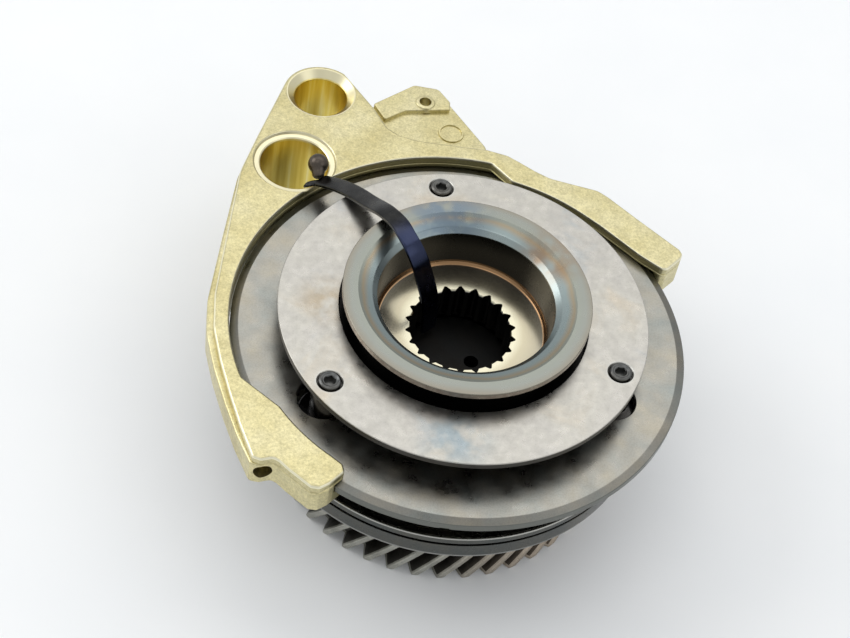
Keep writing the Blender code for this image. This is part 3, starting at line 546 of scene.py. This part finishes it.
def brass_finish():
    """Cast brass: pale yellow, sandy grain with small pits, deeper ochre in the machined bores, and a painted
    highlight along the top's rounded edge.
    """
    made = Finish("fork_brass", (0.80, 0.71, 0.42), 0.42)
    big = made.noise(18, 4.0)
    tone = made.ramp(
        big,
        [(0.3, (0.56, 0.49, 0.25)), (0.5, (0.625, 0.56, 0.31)), (0.7, (0.67, 0.61, 0.37))],
    )
    grain = made.noise(0.8, 4.0, 0.75)
    tone = made.scale(tone, made.range(grain, 0.30, 0.62, 0.76, 1.12, False))
    tone = made.scale(tone, made.range(made.noise(2.4, 4.0, 0.65), 0.34, 0.66, 0.90, 1.08, False))
    # Painted highlight: a pale band painted along the top slab's rounded edge, where that edge would catch
    # the light.
    height = made.level()
    below_top = made.range(height, 17.9, 18.06, 1.0, 0.0)
    edge_highlight = made.maths("MULTIPLY", made.range(height, 17.15, 17.35), below_top)
    tone = made.mix(made.maths("MULTIPLY", edge_highlight, 0.75), tone, (0.95, 0.91, 0.70))
    bore = made.maths("MAXIMUM", bore_mask(made, RAIL, 9.8), bore_mask(made, DETENT, 12.5))
    streak = made.noise(2.4, 3.0, 0.5, (1, 1, 0.05))
    ochre = made.ramp(
        streak,
        [(0.35, (0.66, 0.49, 0.09)), (0.55, (0.80, 0.64, 0.15)), (0.72, (0.90, 0.80, 0.36))],
    )
    tone = made.mix(bore, tone, ochre)
    mouths = made.maths("MAXIMUM", ring_mask(made, RAIL, 12.4), ring_mask(made, DETENT, 14.3))
    turned_face = made.maths("MULTIPLY", mouths, made.maths("SUBTRACT", 1.0, bore))
    tone = made.mix(turned_face, tone, (0.80, 0.74, 0.50))
    # The arc's inner wall below the rounded edge is duller and greener.
    level = made.level()
    near_arc = made.range(made.radius(), 76.9, 77.2, 1.0, 0.0)
    wall = made.maths("MULTIPLY", near_arc, made.range(level, 16.9, 17.4, 1.0, 0.0))
    tone = made.mix(made.maths("MULTIPLY", wall, 0.7), tone, (0.30, 0.27, 0.12))
    made.colour(tone)
    smooth = made.maths("MAXIMUM", bore, mouths)
    cast = made.maths("SUBTRACT", 1.0, smooth)
    made.feed(made.shader, "Roughness", made.range(smooth, 0.0, 1.0, 0.34, 0.31))
    made.bump(made.maths("MULTIPLY", made.noise(0.75, 4.0, 0.7), cast), 0.085, 0.75)
    made.bump(made.maths("MULTIPLY", made.noise(4.0, 3.0), cast), 0.16, 0.5)
    return made


def ring_mask(made, centre, radius):
    """1 within a radius of a vertical bore's axis."""
    x, y, _ = made.axes()
    dx = made.maths("SUBTRACT", x, centre[0] * MM)
    dy = made.maths("SUBTRACT", y, centre[1] * MM)
    squares = made.maths("ADD", made.maths("MULTIPLY", dx, dx), made.maths("MULTIPLY", dy, dy))
    away = made.maths("SQRT", squares)
    return made.range(away, radius * MM, (radius + 0.25) * MM, 1.0, 0.0)


def bore_mask(made, centre, radius):
    """1 inside a vertical bore of the fork, below its mouth."""
    below_mouth = made.range(made.axes()[2], 15.3 * MM, 16.8 * MM, 1.0, 0.0)
    return made.maths("MULTIPLY", ring_mask(made, centre, radius), below_mouth)


def gear_finish(name, colour, edge):
    """Gear steel: dark flanks, or the bright bands ground on the teeth's tips and ends."""
    made = Finish(name, colour, 0.38 if edge else 0.46)
    x, y, _ = made.axes()
    brown = made.range(made.maths("ADD", x, made.maths("MULTIPLY", y, -0.6)), 0.036, 0.075, 0.0, 0.8)
    stops = [(0.3, tuple(c * 0.75 for c in colour)), (0.7, tuple(c * 1.2 for c in colour))]
    tone = made.ramp(made.noise(7, 4.0), stops)
    tone = made.mix(brown, tone, tuple(c * w for c, w in zip(colour, (1.25, 1.0, 0.85))))
    speck = made.range(made.noise(0.6, 3.0, 0.7), 0.32, 0.46, 0.7, 1.0)
    made.colour(made.mix(1.0, tone, made.ramp(speck, [(0, (0, 0, 0)), (1, (1, 1, 1))]), "MULTIPLY"))
    made.rough(made.noise(4, 3.0), 0.32, 0.5)
    made.bump(made.noise(0.4, 3.0), 0.012, 0.6)
    return made


def strap_finish():
    """Blued spring steel: black, with a painted blue sheen where it dips into the bore."""
    made = Finish("strap_black", (0.11, 0.11, 0.115), 0.36)
    # Painted sheen: a blue reflection painted on the strap near the axis, where it dips into the bore.
    blue = made.range(made.radius(), 27.0, 37.0, 1.0, 0.0)
    tone = made.ramp(made.noise(5, 4.0), [(0.35, (0.030, 0.030, 0.030)), (0.7, (0.062, 0.061, 0.058))])
    tone = made.mix(made.maths("MULTIPLY", blue, 0.8), tone, (0.035, 0.045, 0.095))
    made.colour(tone)
    made.rough(made.noise(3, 3.0), 0.16, 0.30)
    made.bump(made.noise(0.5, 3.0), 0.008, 0.6)
    return made


# Centres of the fork's round holes, mm
RAIL = (-65.5, 94.4)
LUG_HOLE = (-28.0, 103.2)
DETENT = (-68.0, 58.2)

finishes = {
    "plate": plate_finish().material,
    "hub": hub_finish().material,
    "sleeve": sleeve_finish().material,
    "drum": drum_finish().material,
    "gear": gear_finish("gear_steel", (0.085, 0.08, 0.07), False).material,
    "gear_edge": gear_finish("gear_edges", (0.42, 0.415, 0.37), True).material,
    "screw": steel("screw_steel", (0.13, 0.13, 0.125), 0.3).material,
    "pin": steel("pin_steel", (0.085, 0.082, 0.08), 0.26).material,
    "planet": steel("planet_steel", (0.42, 0.41, 0.39), 0.3).material,
    "bronze": steel("bearing_bronze", (0.55, 0.38, 0.20), 0.36, 0.15, 0.3).material,
    "spring": steel("spring_steel", (0.12, 0.115, 0.11), 0.36, 0.1, 0.3).material,
    "disc": steel("disc_steel", (0.018, 0.0175, 0.0165), 0.5, 0.1, 0.3).material,
    "brass": brass_finish().material,
    "strap": strap_finish().material,
    "ball": steel("ball_steel", (0.095, 0.08, 0.068), 0.34, 0.15).material,
}

# ---------------------------------------------------------------- top plate and screws

def top_plate():
    plate = turned(
        "plate_body",
        rounded([(61.5, 25.5, 0.35), (61.5, 23.0, 0.35), (41.4, 23.0, 0.2), (41.4, 25.5, 0.25)], 0, 4),
        288,
    )
    cutters = []
    for at in guide_spots():
        profile = [(0, 27), (4.5, 27), (4.4, 25.5), (3.95, 25.15), (3.9, 23.95)]
        profile += [(2.9, 23.9), (2.9, 22), (0, 22)]
        cutters.append(turned("seat", profile, 48, WORK, at))
    combine(plate, cutters)
    finish_piece(plate, "carrier", ["top_plate"], finishes["plate"])


def screws():
    for index, at in enumerate(guide_spots(), 1):
        profile = [(0, 26.1), (2.3, 26.1), (2.9, 26.45), (3.6, 26.1), (3.65, 24.2)]
        profile += [(2.5, 24.2), (2.5, 13.6), (0, 13.6)]
        profile = rounded([(r, z, 0.0 if r == 0 else 0.25) for r, z in profile], 0.25, 3, False)
        screw = turned(f"plate_screw_{index}_body", profile, 48, None, at)
        socket = slab("socket", [hexagon(2.0, at, 12 + 37 * index)], 24.0, 27.5, 0, 1, WORK)
        cone = turned("mouth", [(0, 27), (2.9, 27), (1.75, 25.75), (0, 25.75)], 32, WORK, at)
        combine(screw, [socket, cone])
        finish_piece(screw, "carrier", [f"plate_screw_{index}"], finishes["screw"])


def hexagon(radius, at, turn):
    return [polar(radius, math.radians(turn + 60 * k), at) for k in range(6)]


def guide_pins():
    for index, at in enumerate(guide_spots(), 1):
        profile = [(0, 13.0), (2.8, 13.0), (2.8, 22.7), (5.5, 22.7), (5.5, 10.1), (9.0, 10.1)]
        profile += [(9.0, -9.6), (4.7, -9.6), (4.7, -16.5), (0, -16.5)]
        profile = [(r, z, 0.35 if r > 5 else 0.0) for r, z in profile]
        pin = turned(f"guide_pin_{index}_body", rounded(profile, 0, 3, False), 64, None, at)
        finish_piece(pin, "carrier", [f"guide_pin_{index}"], finishes["pin"])


# ---------------------------------------------------------------- hub


def tooth_ring(count, outer, inner, outer_share, inner_share, phase=0.0, steps=1):
    """Straight-sided teeth round a circle, their ends drawn as short arcs."""
    pitch = math.tau / count
    points = []
    for tooth in range(count):
        centre = phase + pitch * tooth
        for k in range(steps + 1):
            points.append(polar(outer, centre + pitch * outer_share * (k / steps - 0.5)))
        start = centre + pitch * inner_share / 2
        end = centre + pitch * (1 - inner_share / 2)
        for k in range(steps + 1):
            points.append(polar(inner, start + (end - start) * k / steps))
    return points


def involute_ring(teeth, pitch_r, tip_r, root_r, thinning, phase=0.0, rows=5):
    """An external involute gear's outline with one tooth centred on phase."""
    pressure = math.radians(25)
    base = pitch_r * math.cos(pressure)
    half_pitch = (math.pi * pitch_r / teeth - thinning) / (2 * pitch_r)
    flank = []
    for k in range(rows + 1):
        radius = root_r + (tip_r - root_r) * k / rows
        at = math.acos(min(1.0, base / max(radius, base)))
        flank.append((radius, half_pitch + (math.tan(pressure) - pressure) - (math.tan(at) - at)))
    points = []
    for tooth in range(teeth):
        centre = phase + math.tau * tooth / teeth
        points += [polar(radius, centre - half) for radius, half in flank]
        points += [polar(radius, centre + half) for radius, half in reversed(flank)]
    return points


def hub():
    profile = [
        (36.0, 34.0, 0.25),
        (41.05, 34.0, 0.3),
        (41.05, 31.7, 0.3),
        (36.5, 31.7, 0.4),
        (36.5, -8.0, 0.6),
        (28.6, -8.0, 0.3),
        (28.6, -18.6, 0.2),
        (25.3, -18.6, 0.2),
        (25.3, -37.0, 0.2),
        (24.0, -37.0, 0.2),
        (24.0, -45.45, 0),
        (22.1, -45.45, 0),
        (22.1, -46.55, 0),
        (24.0, -46.55, 0),
        (24.0, -46.9, 0),
        (20.0, -46.9, 0.4),
        (20.0, -5.0, 0),
        (21.4, -5.0, 0),
        (21.4, -3.4, 0),
        (20.0, -3.4, 0),
        (20.0, -0.9, 0),
        (18.7, -0.9, 0),
        (18.7, 2.4, 0),
        (16.7, 2.4, 0),
        (16.7, 15.3, 0),
        (17.2, 15.9, 0.3),
        (27.9, 16.2, 0.8),
        (28.7, 17.3, 0.8),
        (29.4, 30.4, 0.3),
        (31.2, 31.95, 1.6),
    ]
    body = turned("hub_body", rounded(profile, 0, 5), 288)
    slots = tooth_ring(22, 18.6, 16.4, 0.12, 0.86, 0.0, 2)
    cutters = [slab("slots", [slots], 1.4, 17.0, 0, 1, WORK)]
    combine(body, cutters)
    dogs = tooth_ring(24, 43.2, 40.9, 0.36, 0.5, 0.0, 2)
    sun = involute_ring(36, 27.0, 28.2, 25.425, 0.16)
    extra = [
        slab("dogs", [dogs, circle(34.0, 72)], 19.8, 22.6, 0.0, 1, WORK),
        slab("sun", [sun, circle(22.0, 72)], -36.8, -19.2, 0.0, 1, WORK),
    ]
    combine(body, extra, "UNION")
    finish_piece(body, "sun_hub", ["sun_hub"], finishes["hub"], 28)


def stop_disc():
    profile = [(0, 0, 0), (18.0, 0, 0.3), (18.0, -1.2, 0), (19.7, -1.2, 0.2), (19.7, -3.4, 0.2), (0, -3.4, 0)]
    disc = turned("stop_disc_body", rounded(profile, 0, 3, False), 96)
    hole = turned("oil", [(0, 1), (2.9, 1), (2.4, -0.4), (2.4, -4), (0, -4)], 32, WORK, (5.9, 0))
    combine(disc, [hole])
    finish_piece(disc, "sun_hub", ["shaft_stop_disc"], finishes["disc"])


# ---------------------------------------------------------------- sleeve and drum


def sleeve():
    profile = [
        (73.5, 13.9, 0.25),
        (76.2, 13.1, 0.3),
        (76.2, 10.4, 0.3),
        (45.3, 10.4, 0.5),
        (45.3, 5.2, 0.4),
        (41.3, 5.2, 0.3),
        (41.3, 13.9, 0.3),
    ]
    body = turned("sleeve_body", rounded(profile, 0, 4), 320)
    cutters = [slab("slots", [tooth_ring(24, 43.6, 40.9, 0.45, 0.58, 0.0, 2)], 4.0, 15.0, 0, 1, WORK)]
    for at in guide_spots(-2.6):
        profile = [(0, 15), (9.4, 15), (8.2, 13.4), (8.2, 10.9), (9.0, 9.8), (0, 9.8)]
        cutters.append(turned("window", profile, 64, WORK, at))
    notch = [(-1.6, 74.6), (1.6, 74.6), (1.6, 78.0), (-1.6, 78.0)]
    turn = Matrix.Rotation(math.radians(-85 - 90), 2)
    notch = [tuple(turn @ Vector(point)) for point in notch]
    cutters.append(slab("notch", [notch], 9.0, 10.95, 0, 1, WORK))
    combine(body, cutters)
    finish_piece(body, "sleeve", ["shift_sleeve"], finishes["sleeve"])


def drum():
    profile = [
        (64.3, -7.7, 0.3),
        (67.6, -7.7, 0.45),
        (67.6, -10.4, 0.25),
        (65.6, -10.4, 0),
        (65.6, -11.6, 0),
        (67.6, -11.6, 0.25),
        (67.6, -17.7, 0.5),
        (29.0, -17.7, 0.2),
        (29.0, -9.9, 0.3),
        (64.3, -9.9, 0.6),
    ]
    body = turned("drum_body", rounded(profile, 0, 4), 320)
    cutters = []
    for at in guide_spots():
        cutters.append(turned("seat", [(0, -9), (5.0, -9), (5.0, -19), (0, -19)], 40, WORK, at))
    for k in range(3):
        at = polar(36.0, math.radians(46.7 + 120 * k))
        cutters.append(turned("pin", [(0, -9), (3.8, -9), (3.8, -19), (0, -19)], 32, WORK, at))
        at = polar(36.0, math.radians(106.7 + 120 * k))
        profile = [(0, -9), (4.4, -9), (4.4, -13.2), (2.9, -13.2), (2.9, -19), (0, -19)]
        cutters.append(turned("bolt", profile, 32, WORK, at))
    combine(body, cutters)
    finish_piece(body, "carrier", ["carrier_drum"], finishes["drum"])


# ---------------------------------------------------------------- output gear

RING_PHASE = math.radians(46.7 + 3.0)  # a gap lies half a pitch past the first planet


def helical_gear():
    teeth, tip, root = 42, 57.9, 52.3
    top, bottom = -18.1, -47.2
    pitch = math.tau / teeth
    phase = math.radians(-80.2)
    helix, pitch_radius = math.radians(32), 55.7
    twist = (top - bottom) * math.tan(helix) / pitch_radius
    # Half a tooth, from its root to its tip: radius and half angle as a share of the pitch.
    half = [(52.3, 0.46), (52.35, 0.40), (52.8, 0.355), (54.0, 0.30)]
    half += [(55.6, 0.235), (57.0, 0.165), (57.7, 0.125), (57.9, 0.095)]
    # Height above the bottom, and how far the chamfer at each end cuts the teeth back there.
    rows = [(0.0, 0.55), (0.5, 0.3), (1.1, 0.0)]
    rows += [(1.1 + 26.9 * k / 26, 0.0) for k in range(1, 27)] + [(28.6, 0.3), (29.1, 0.55)]
    shape = bmesh.new()
    levels = []
    for rise, trim in rows:
        turn = phase + twist * rise / (top - bottom)
        loop = []
        for tooth in range(teeth):
            centre = turn + pitch * tooth
            left = [(radius, -share) for radius, share in half]
            right = [(radius, share) for radius, share in reversed(half)]
            for radius, share in left + right:
                inset = trim * (radius - root) / (tip - root)
                side = share - math.copysign(inset * 0.55 / (pitch * radius), share)
                loop.append(polar(radius - inset * 0.7, centre + side * pitch))
        levels.append([shape.verts.new((x * MM, y * MM, (bottom + rise) * MM)) for x, y in loop])
    count = len(levels[0])
    per_tooth = 2 * len(half)
    tip_first = len(half) - 3
    for index, (lower, upper) in enumerate(zip(levels, levels[1:])):
        for k in range(count):
            near = (k + 1) % count
            face = shape.faces.new((lower[k], lower[near], upper[near], upper[k]))
            spot = k % per_tooth
            if index < 2 or tip_first <= spot < tip_first + 5:
                face.material_index = 1
    shape.faces.new(list(reversed(levels[0])))
    shape.faces.new(levels[-1])
    gear = new_object("output_gear_body", shape)
    gear.data.materials.append(finishes["gear"])
    gear.data.materials.append(finishes["gear_edge"])
    gaps = involute_ring(60, 45.0, 46.575, 43.8, -0.16, RING_PHASE)
    recess = rounded([(0, -45.3, 0), (49.6, -45.3, 0.6), (49.6, -49, 0), (0, -49, 0)], 0, 4, False)
    cutters = [
        slab("ring", [gaps], -42.9, -17.0, 0, 1, WORK),
        turned("bore", [(0, -17), (26.5, -17), (26.5, -49), (0, -49)], 96, WORK),
        turned("recess", recess, 144, WORK),
    ]
    combine(gear, cutters)
    finish_piece(gear, "output_gear", ["output_gear"], None, 24)


# ---------------------------------------------------------------- fork

FORK_TOP = 18.1
PARTING = 14.7  # height of the casting's parting line
FORK_BORE_R = 76.6  # the arc that clears the sleeve

# The long outer wall: x, y, how much further out it stands below the parting line, corner radius.
FORK_WALL = [
    (-55.9, -69.0, 0.6, 2.0),
    (-62.1, -58.3, 1.3, 20),
    (-67.6, -47.6, 1.7, 20),
    (-73.7, -34.8, 2.0, 20),
    (-78.8, -22.0, 2.2, 20),
    (-81.6, -8.0, 2.2, 20),
    (-83.6, 20.0, 1.6, 20),
    (-85.5, 48.5, 0.8, 30),
    (-83.4, 66.0, 0.3, 30),
]


def fork_outline(flare):
    points = []
    for x, y, grow, radius in FORK_WALL:
        scale = 1 + flare * grow / math.hypot(x, y)
        points.append((x * scale, y * scale, radius))
    points += [(x, y, 0) for x, y in arc(13.8, 172, 62, 20, RAIL)]
    points += [(-46.1, 92.9, 8), (-39.2, 83.8, 4), (-34.4, 81.2, 3), (-26.7, 80.5, 3), (-2.6, 83.0, 3)]
    points += [(5.1, 82.2, 6), (9.5, 80.3, 6), (15.6, 77.4, 6), (21.4, 75.3, 8)]
    points += [(29.0, 74.7, 12), (38.9, 74.0, 6)]
    points += [(43.0, 71.8, 8), (55.0, 63.6, 20), (70.0, 53.7, 1.6), (71.2, 51.8, 1.6), (70.7, 49.6, 3)]
    points += [(66.4, 43.3, 1.6), (64.5, 42.9, 1.8), (56.4, 47.1, 8), (41.2, 57.3, 8)]
    points += [(x, y, 3) for x, y in arc(70.2, 61, 83, 12)]
    points += [(x, y, 3) for x, y in arc(FORK_BORE_R, 90, 211, 80)]
    points += [(x, y, 3) for x, y in arc(70.2, 223, 243, 12)]
    points += [(-28.1, -64.7, 1.6), (-27.0, -67.4, 1.6), (-30.6, -72.8, 3)]
    points += [(-33.4, -75.4, 1.6), (-36.2, -75.6, 1.6)]
    points += [(-44.2, -70.8, 8), (-47.6, -68.4, 3), (-49.6, -67.7, 3), (-53.0, -69.4, 2)]
    return rounded(points, 0, 4)


def fork():
    top = slab("fork_body", [fork_outline(0)], PARTING - 0.06, FORK_TOP, 0.85, 4)
    base = slab("base", [fork_outline(1)], 5.2, PARTING, 0.7, 3, WORK)
    clear = turned("clear", [(0, 30), (FORK_BORE_R, 30), (FORK_BORE_R, -20), (0, -20)], 256, WORK)
    bosses = []
    for radius, at in ((13.3, RAIL), (15.4, DETENT)):
        profile = [(0, 8, 0), (radius, 8, 0), (radius, -11, 0.8), (0, -11, 0)]
        bosses.append(turned("boss", rounded(profile, 0, 3, False), 96, WORK, at))
    combine(bosses[1], [clear])
    lug = [(-50.0, 86.0, 0), (-46.4, 97.5, 3), (-33.5, 111.4, 2.5), (-24.3, 111.8, 3)]
    lug += [(-19.0, 106.3, 2), (-2.6, 88.0, 4), (-3.4, 80.0, 0), (-26.0, 78.0, 0), (-36.0, 79.0, 0)]
    lug = slab("lug", [rounded(lug, 0, 5)], 6.2, 13.5, 0.6, 3, WORK)
    rib = [(-46.3, 97.4, 1), (-41.0, 90.6, 1), (-34.5, 97.2, 4), (-29.5, 98.8, 3)]
    rib += [(-18.6, 102.2, 1), (-19.1, 106.2, 1.5), (-24.3, 111.7, 3), (-33.4, 111.3, 2.5)]
    rib = slab("rib", [rounded(rib, 0, 5)], 9.0, 15.1, 0.5, 3, WORK)
    collar = rounded([(0, 15.6, 0), (3.4, 15.6, 0.5), (4.2, 14.0, 0), (0, 14.0, 0)], 0, 3, False)
    collar = turned("collar", collar, 48, WORK, LUG_HOLE)
    mark = turned("mark", [(3.9, 13.95), (4.6, 13.95), (4.9, 13.2), (3.6, 13.2)], 64, WORK, (-16.5, 91.8))
    combine(top, [base, *bosses, lug, rib, collar, mark], "UNION")
    rail = [(0, 19), (12.9, 19), (12.15, 18.1), (9.65, 15.6), (9.5, 15.3)]
    rail += [(9.5, -10.4), (10.2, -11.2), (10.2, -13), (0, -13)]
    detent = [(0, 20), (15.6, 20), (14.9, 18.15), (14.35, 17.7), (14.1, 17.15), (12.6, 17.05)]
    detent += [(12.2, 16.7), (12.2, -10.4), (12.9, -11.2), (12.9, -13), (0, -13)]
    slot = [(0, 14.2, 0), (FORK_BORE_R, 14.2, 0.4), (FORK_BORE_R, 10.1, 0.4), (0, 10.1, 0)]
    cutters = [
        turned("rail", rail, 128, WORK, RAIL),
        turned("detent", detent, 128, WORK, DETENT),
        turned("lug_hole", [(0, 17), (2.7, 17), (2.1, 15.2), (2.1, 4), (0, 4)], 40, WORK, LUG_HOLE),
        turned("slot", rounded(slot, 0, 3, False), 256, WORK),
    ]
    pin = turned("pin", [(0, 7.5), (3.2, 7.5), (3.0, 0.6), (2.9, -9), (0, -9)], 48, WORK)
    pin.matrix_world = (
        Matrix.Translation(Vector((-52.3, -68.0, 11.0)) * MM)
        @ Matrix.Rotation(math.radians(6), 4, "Z")
        @ Matrix.Rotation(math.radians(90), 4, "X")
    )
    cutters.append(pin)
    combine(top, cutters)
    finish_piece(top, "fork", ["shift_fork"], finishes["brass"], 34)


# ---------------------------------------------------------------- strap and ball

# The strap's centre line from the fork down into the bore: x, y, z, width in mm.
ROUTE = [
    (-57.4, 49.0, 20.5, 6.4),
    (-52.0, 46.0, 23.4, 6.7),
    (-45.2, 40.6, 27.3, 6.8),
    (-38.0, 33.2, 31.6, 6.7),
    (-32.3, 26.6, 36.1, 6.5),
    (-27.2, 20.6, 38.4, 6.4),
    (-23.8, 15.6, 38.9, 6.4),
    (-20.6, 12.3, 37.0, 6.6),
    (-17.6, 10.6, 32.5, 6.9),
    (-15.2, 9.8, 26.5, 7.0),
    (-13.0, 9.1, 20.5, 7.0),
    (-11.6, 8.6, 15.5, 6.8),
    (-10.9, 8.2, 10.0, 6.6),
    (-10.6, 8.0, 3.0, 6.2),
]


def through(values, position):
    """Catmull-Rom through a list of vectors."""
    index = min(int(position), len(values) - 2)
    t = position - index
    before = values[max(index - 1, 0)]
    here = values[index]
    there = values[index + 1]
    after = values[min(index + 2, len(values) - 1)]
    part = (there - before) * t
    part += (before * 2 - here * 5 + there * 4 - after) * (t * t)
    part += (here * 3 - before - there * 3 + after) * (t**3)
    return here + part * 0.5


def strap():
    route = [Vector(point) for point in ROUTE]
    across = Vector((route[0].y, -route[0].x, 0)).normalized()
    last = len(route) - 1
    steps = 12 * last
    levels = []
    for step in range(steps + 1):
        position = step / 12
        spot = through(route, position)
        ahead = through(route, min(position + 0.08, last)).to_3d()
        behind = through(route, max(position - 0.08, 0)).to_3d()
        tangent = (ahead - behind).normalized()
        normal = tangent.cross(across).normalized()
        side = normal.cross(tangent)
        end = min(position, 0.12) / 0.12
        half = spot.w / 2 * (0.86 + 0.14 * math.sin(end * math.pi / 2))
        section = [(half, 0.3), (half - 0.12, 0.52), (half - 0.62, 0.75), (0, 0.78)]
        section += [(0.62 - half, 0.75), (0.12 - half, 0.52), (-half, 0.3)]
        section += [(a, -b) for a, b in reversed(section)]
        levels.append([spot.to_3d() + side * a + normal * b for a, b in section])
    band = loft("strap_body", levels)
    path = [(-57.0, 48.6, 20.4, 1.0), (-59.4, 47.3, 20.4, 1.15)]
    path += [(-61.4, 46.3, 20.0, 1.0), (-62.3, 46.3, 18.9, 0.6)]
    path = [Vector(point) for point in path]
    curl = []
    for step in range(25):
        position = 3 * step / 24
        middle = through(path, position)
        ahead = through(path, min(position + 0.1, 3)).to_3d()
        behind = through(path, max(position - 0.1, 0)).to_3d()
        tangent = (ahead - behind).normalized()
        level = tangent.cross(Vector((0, 0, 1))).normalized()
        upward = level.cross(tangent)
        loop = circle(middle.w, 14)
        curl.append([middle.to_3d() + level * a + upward * (0.7 * b) for a, b in loop])
    combine(band, [loft("curl", curl, WORK)], "UNION")
    finish_piece(band, "fork", ["retaining_strap"], finishes["strap"], 30)


def ball():
    centre = Vector((-59.35, 55.15, 22.1))
    profile = [(3.6 * math.sin(math.radians(a)), 3.6 * math.cos(math.radians(a))) for a in range(0, 138, 6)]
    profile[0] = (0, 3.6)
    profile = profile + [(2.2, -3.4), (2.05, -4.6), (1.5, -5.2), (0, -5.2)]
    piece = turned("ball_body", profile, 48)
    aim = (Vector((-58.3, 50.2, 20.5)) - centre).normalized()
    turn = (-aim).to_track_quat("Z", "Y").to_matrix().to_4x4()
    piece.data.transform(Matrix.Translation(centre * MM) @ turn)
    finish_piece(piece, "fork", ["strap_ball"], finishes["ball"], 40)


# ---------------------------------------------------------------- build

top_plate()
screws()
guide_pins()
hub()
stop_disc()
sleeve()
drum()
helical_gear()
fork()
strap()
ball()

carried = {
    "planet": ["planet_gear_1", "planet_gear_2", "planet_gear_3"],
    "pin": ["planet_pin_1", "planet_pin_2", "planet_pin_3"],
    "drum": ["carrier_cage"],
    "screw": ["carrier_bolt_1", "carrier_bolt_2", "carrier_bolt_3"],
    "spring": ["stop_snap_ring", "hub_circlip"],
    "bronze": ["gear_bush", "gear_thrust_washer", "hub_thrust_washer"]
    + [f"{name}_{k}" for name in ("planet_bush", "upper_washer", "lower_washer") for k in (1, 2, 3)],
}
for finish, names in carried.items():
    for name in names:
        node = frame["nodes"][name]
        node.data.materials.clear()
        node.data.materials.append(finishes[finish])

# ---------------------------------------------------------------- floor, light and camera

FLOOR_Z = cad_box[0].z - 0.2 * MM


def floor():
    mesh = bpy.data.meshes.new("floor")
    size = 4.0
    corners = [(x * size, y * size, FLOOR_Z) for x, y in ((-1, -1), (1, -1), (1, 1), (-1, 1))]
    mesh.from_pydata(corners, [], [(0, 1, 2, 3)])
    obj = bpy.data.objects.new("floor", mesh)
    bpy.context.scene.collection.objects.link(obj)
    made = Finish("floor_white", (0.86, 0.875, 0.89), 0.6, 0.0)
    stops = [(0.3, (0.885, 0.895, 0.90)), (0.7, (0.91, 0.915, 0.915))]
    made.colour(made.ramp(made.noise(60, 3.0), stops))
    obj.data.materials.append(made.material)


def area(name, at, size, power):
    """A rectangular light in metres and watts, aimed at the origin."""
    light = bpy.data.lights.new(name, "AREA")
    light.shape = "RECTANGLE"
    light.size, light.size_y = size
    light.energy = power
    obj = bpy.data.objects.new(name, light)
    obj.location = at
    obj.rotation_euler = (-Vector(at)).to_track_quat("-Z", "Y").to_euler()
    bpy.context.scene.collection.objects.link(obj)


def world():
    made = bpy.data.worlds.new("studio")
    made.use_nodes = True
    back = made.node_tree.nodes["Background"]
    back.inputs["Color"].default_value = (0.96, 0.98, 1.0, 1)
    back.inputs["Strength"].default_value = 0.685
    bpy.context.scene.world = made


def camera():
    lens = bpy.data.cameras.new("camera")
    lens.lens = 82.5
    lens.sensor_width = 36
    lens.clip_start = 0.01
    obj = bpy.data.objects.new("camera", lens)
    right = Vector((0.9797, 0.1535, 0.1291))
    up = Vector((-0.2006, 0.7496, 0.6307))
    back = Vector((0.0, -0.6438, 0.7652))
    turn = Matrix((right, up, back)).transposed()
    obj.matrix_world = Matrix.Translation(Vector((-12.2, -415.6, 511.1)) * MM) @ turn.to_4x4()
    bpy.context.scene.collection.objects.link(obj)
    bpy.context.scene.camera = obj


floor()
area("sky", (0.15, 0.7, 1.3), (2.0, 1.1), 6.0)
area("left", (-2.2, 0.3, 1.5), (1.6, 1.6), 22.0)
area("right", (2.0, -0.9, 1.6), (1.6, 1.6), 4.5)
area("top", (-0.3, -0.4, 1.5), (0.7, 0.7), 1.6)
world()
camera()
bpy.context.scene.view_settings.view_transform = "Standard"

for helper in list(WORK.objects):
    bpy.data.objects.remove(helper)
bpy.data.collections.remove(WORK)
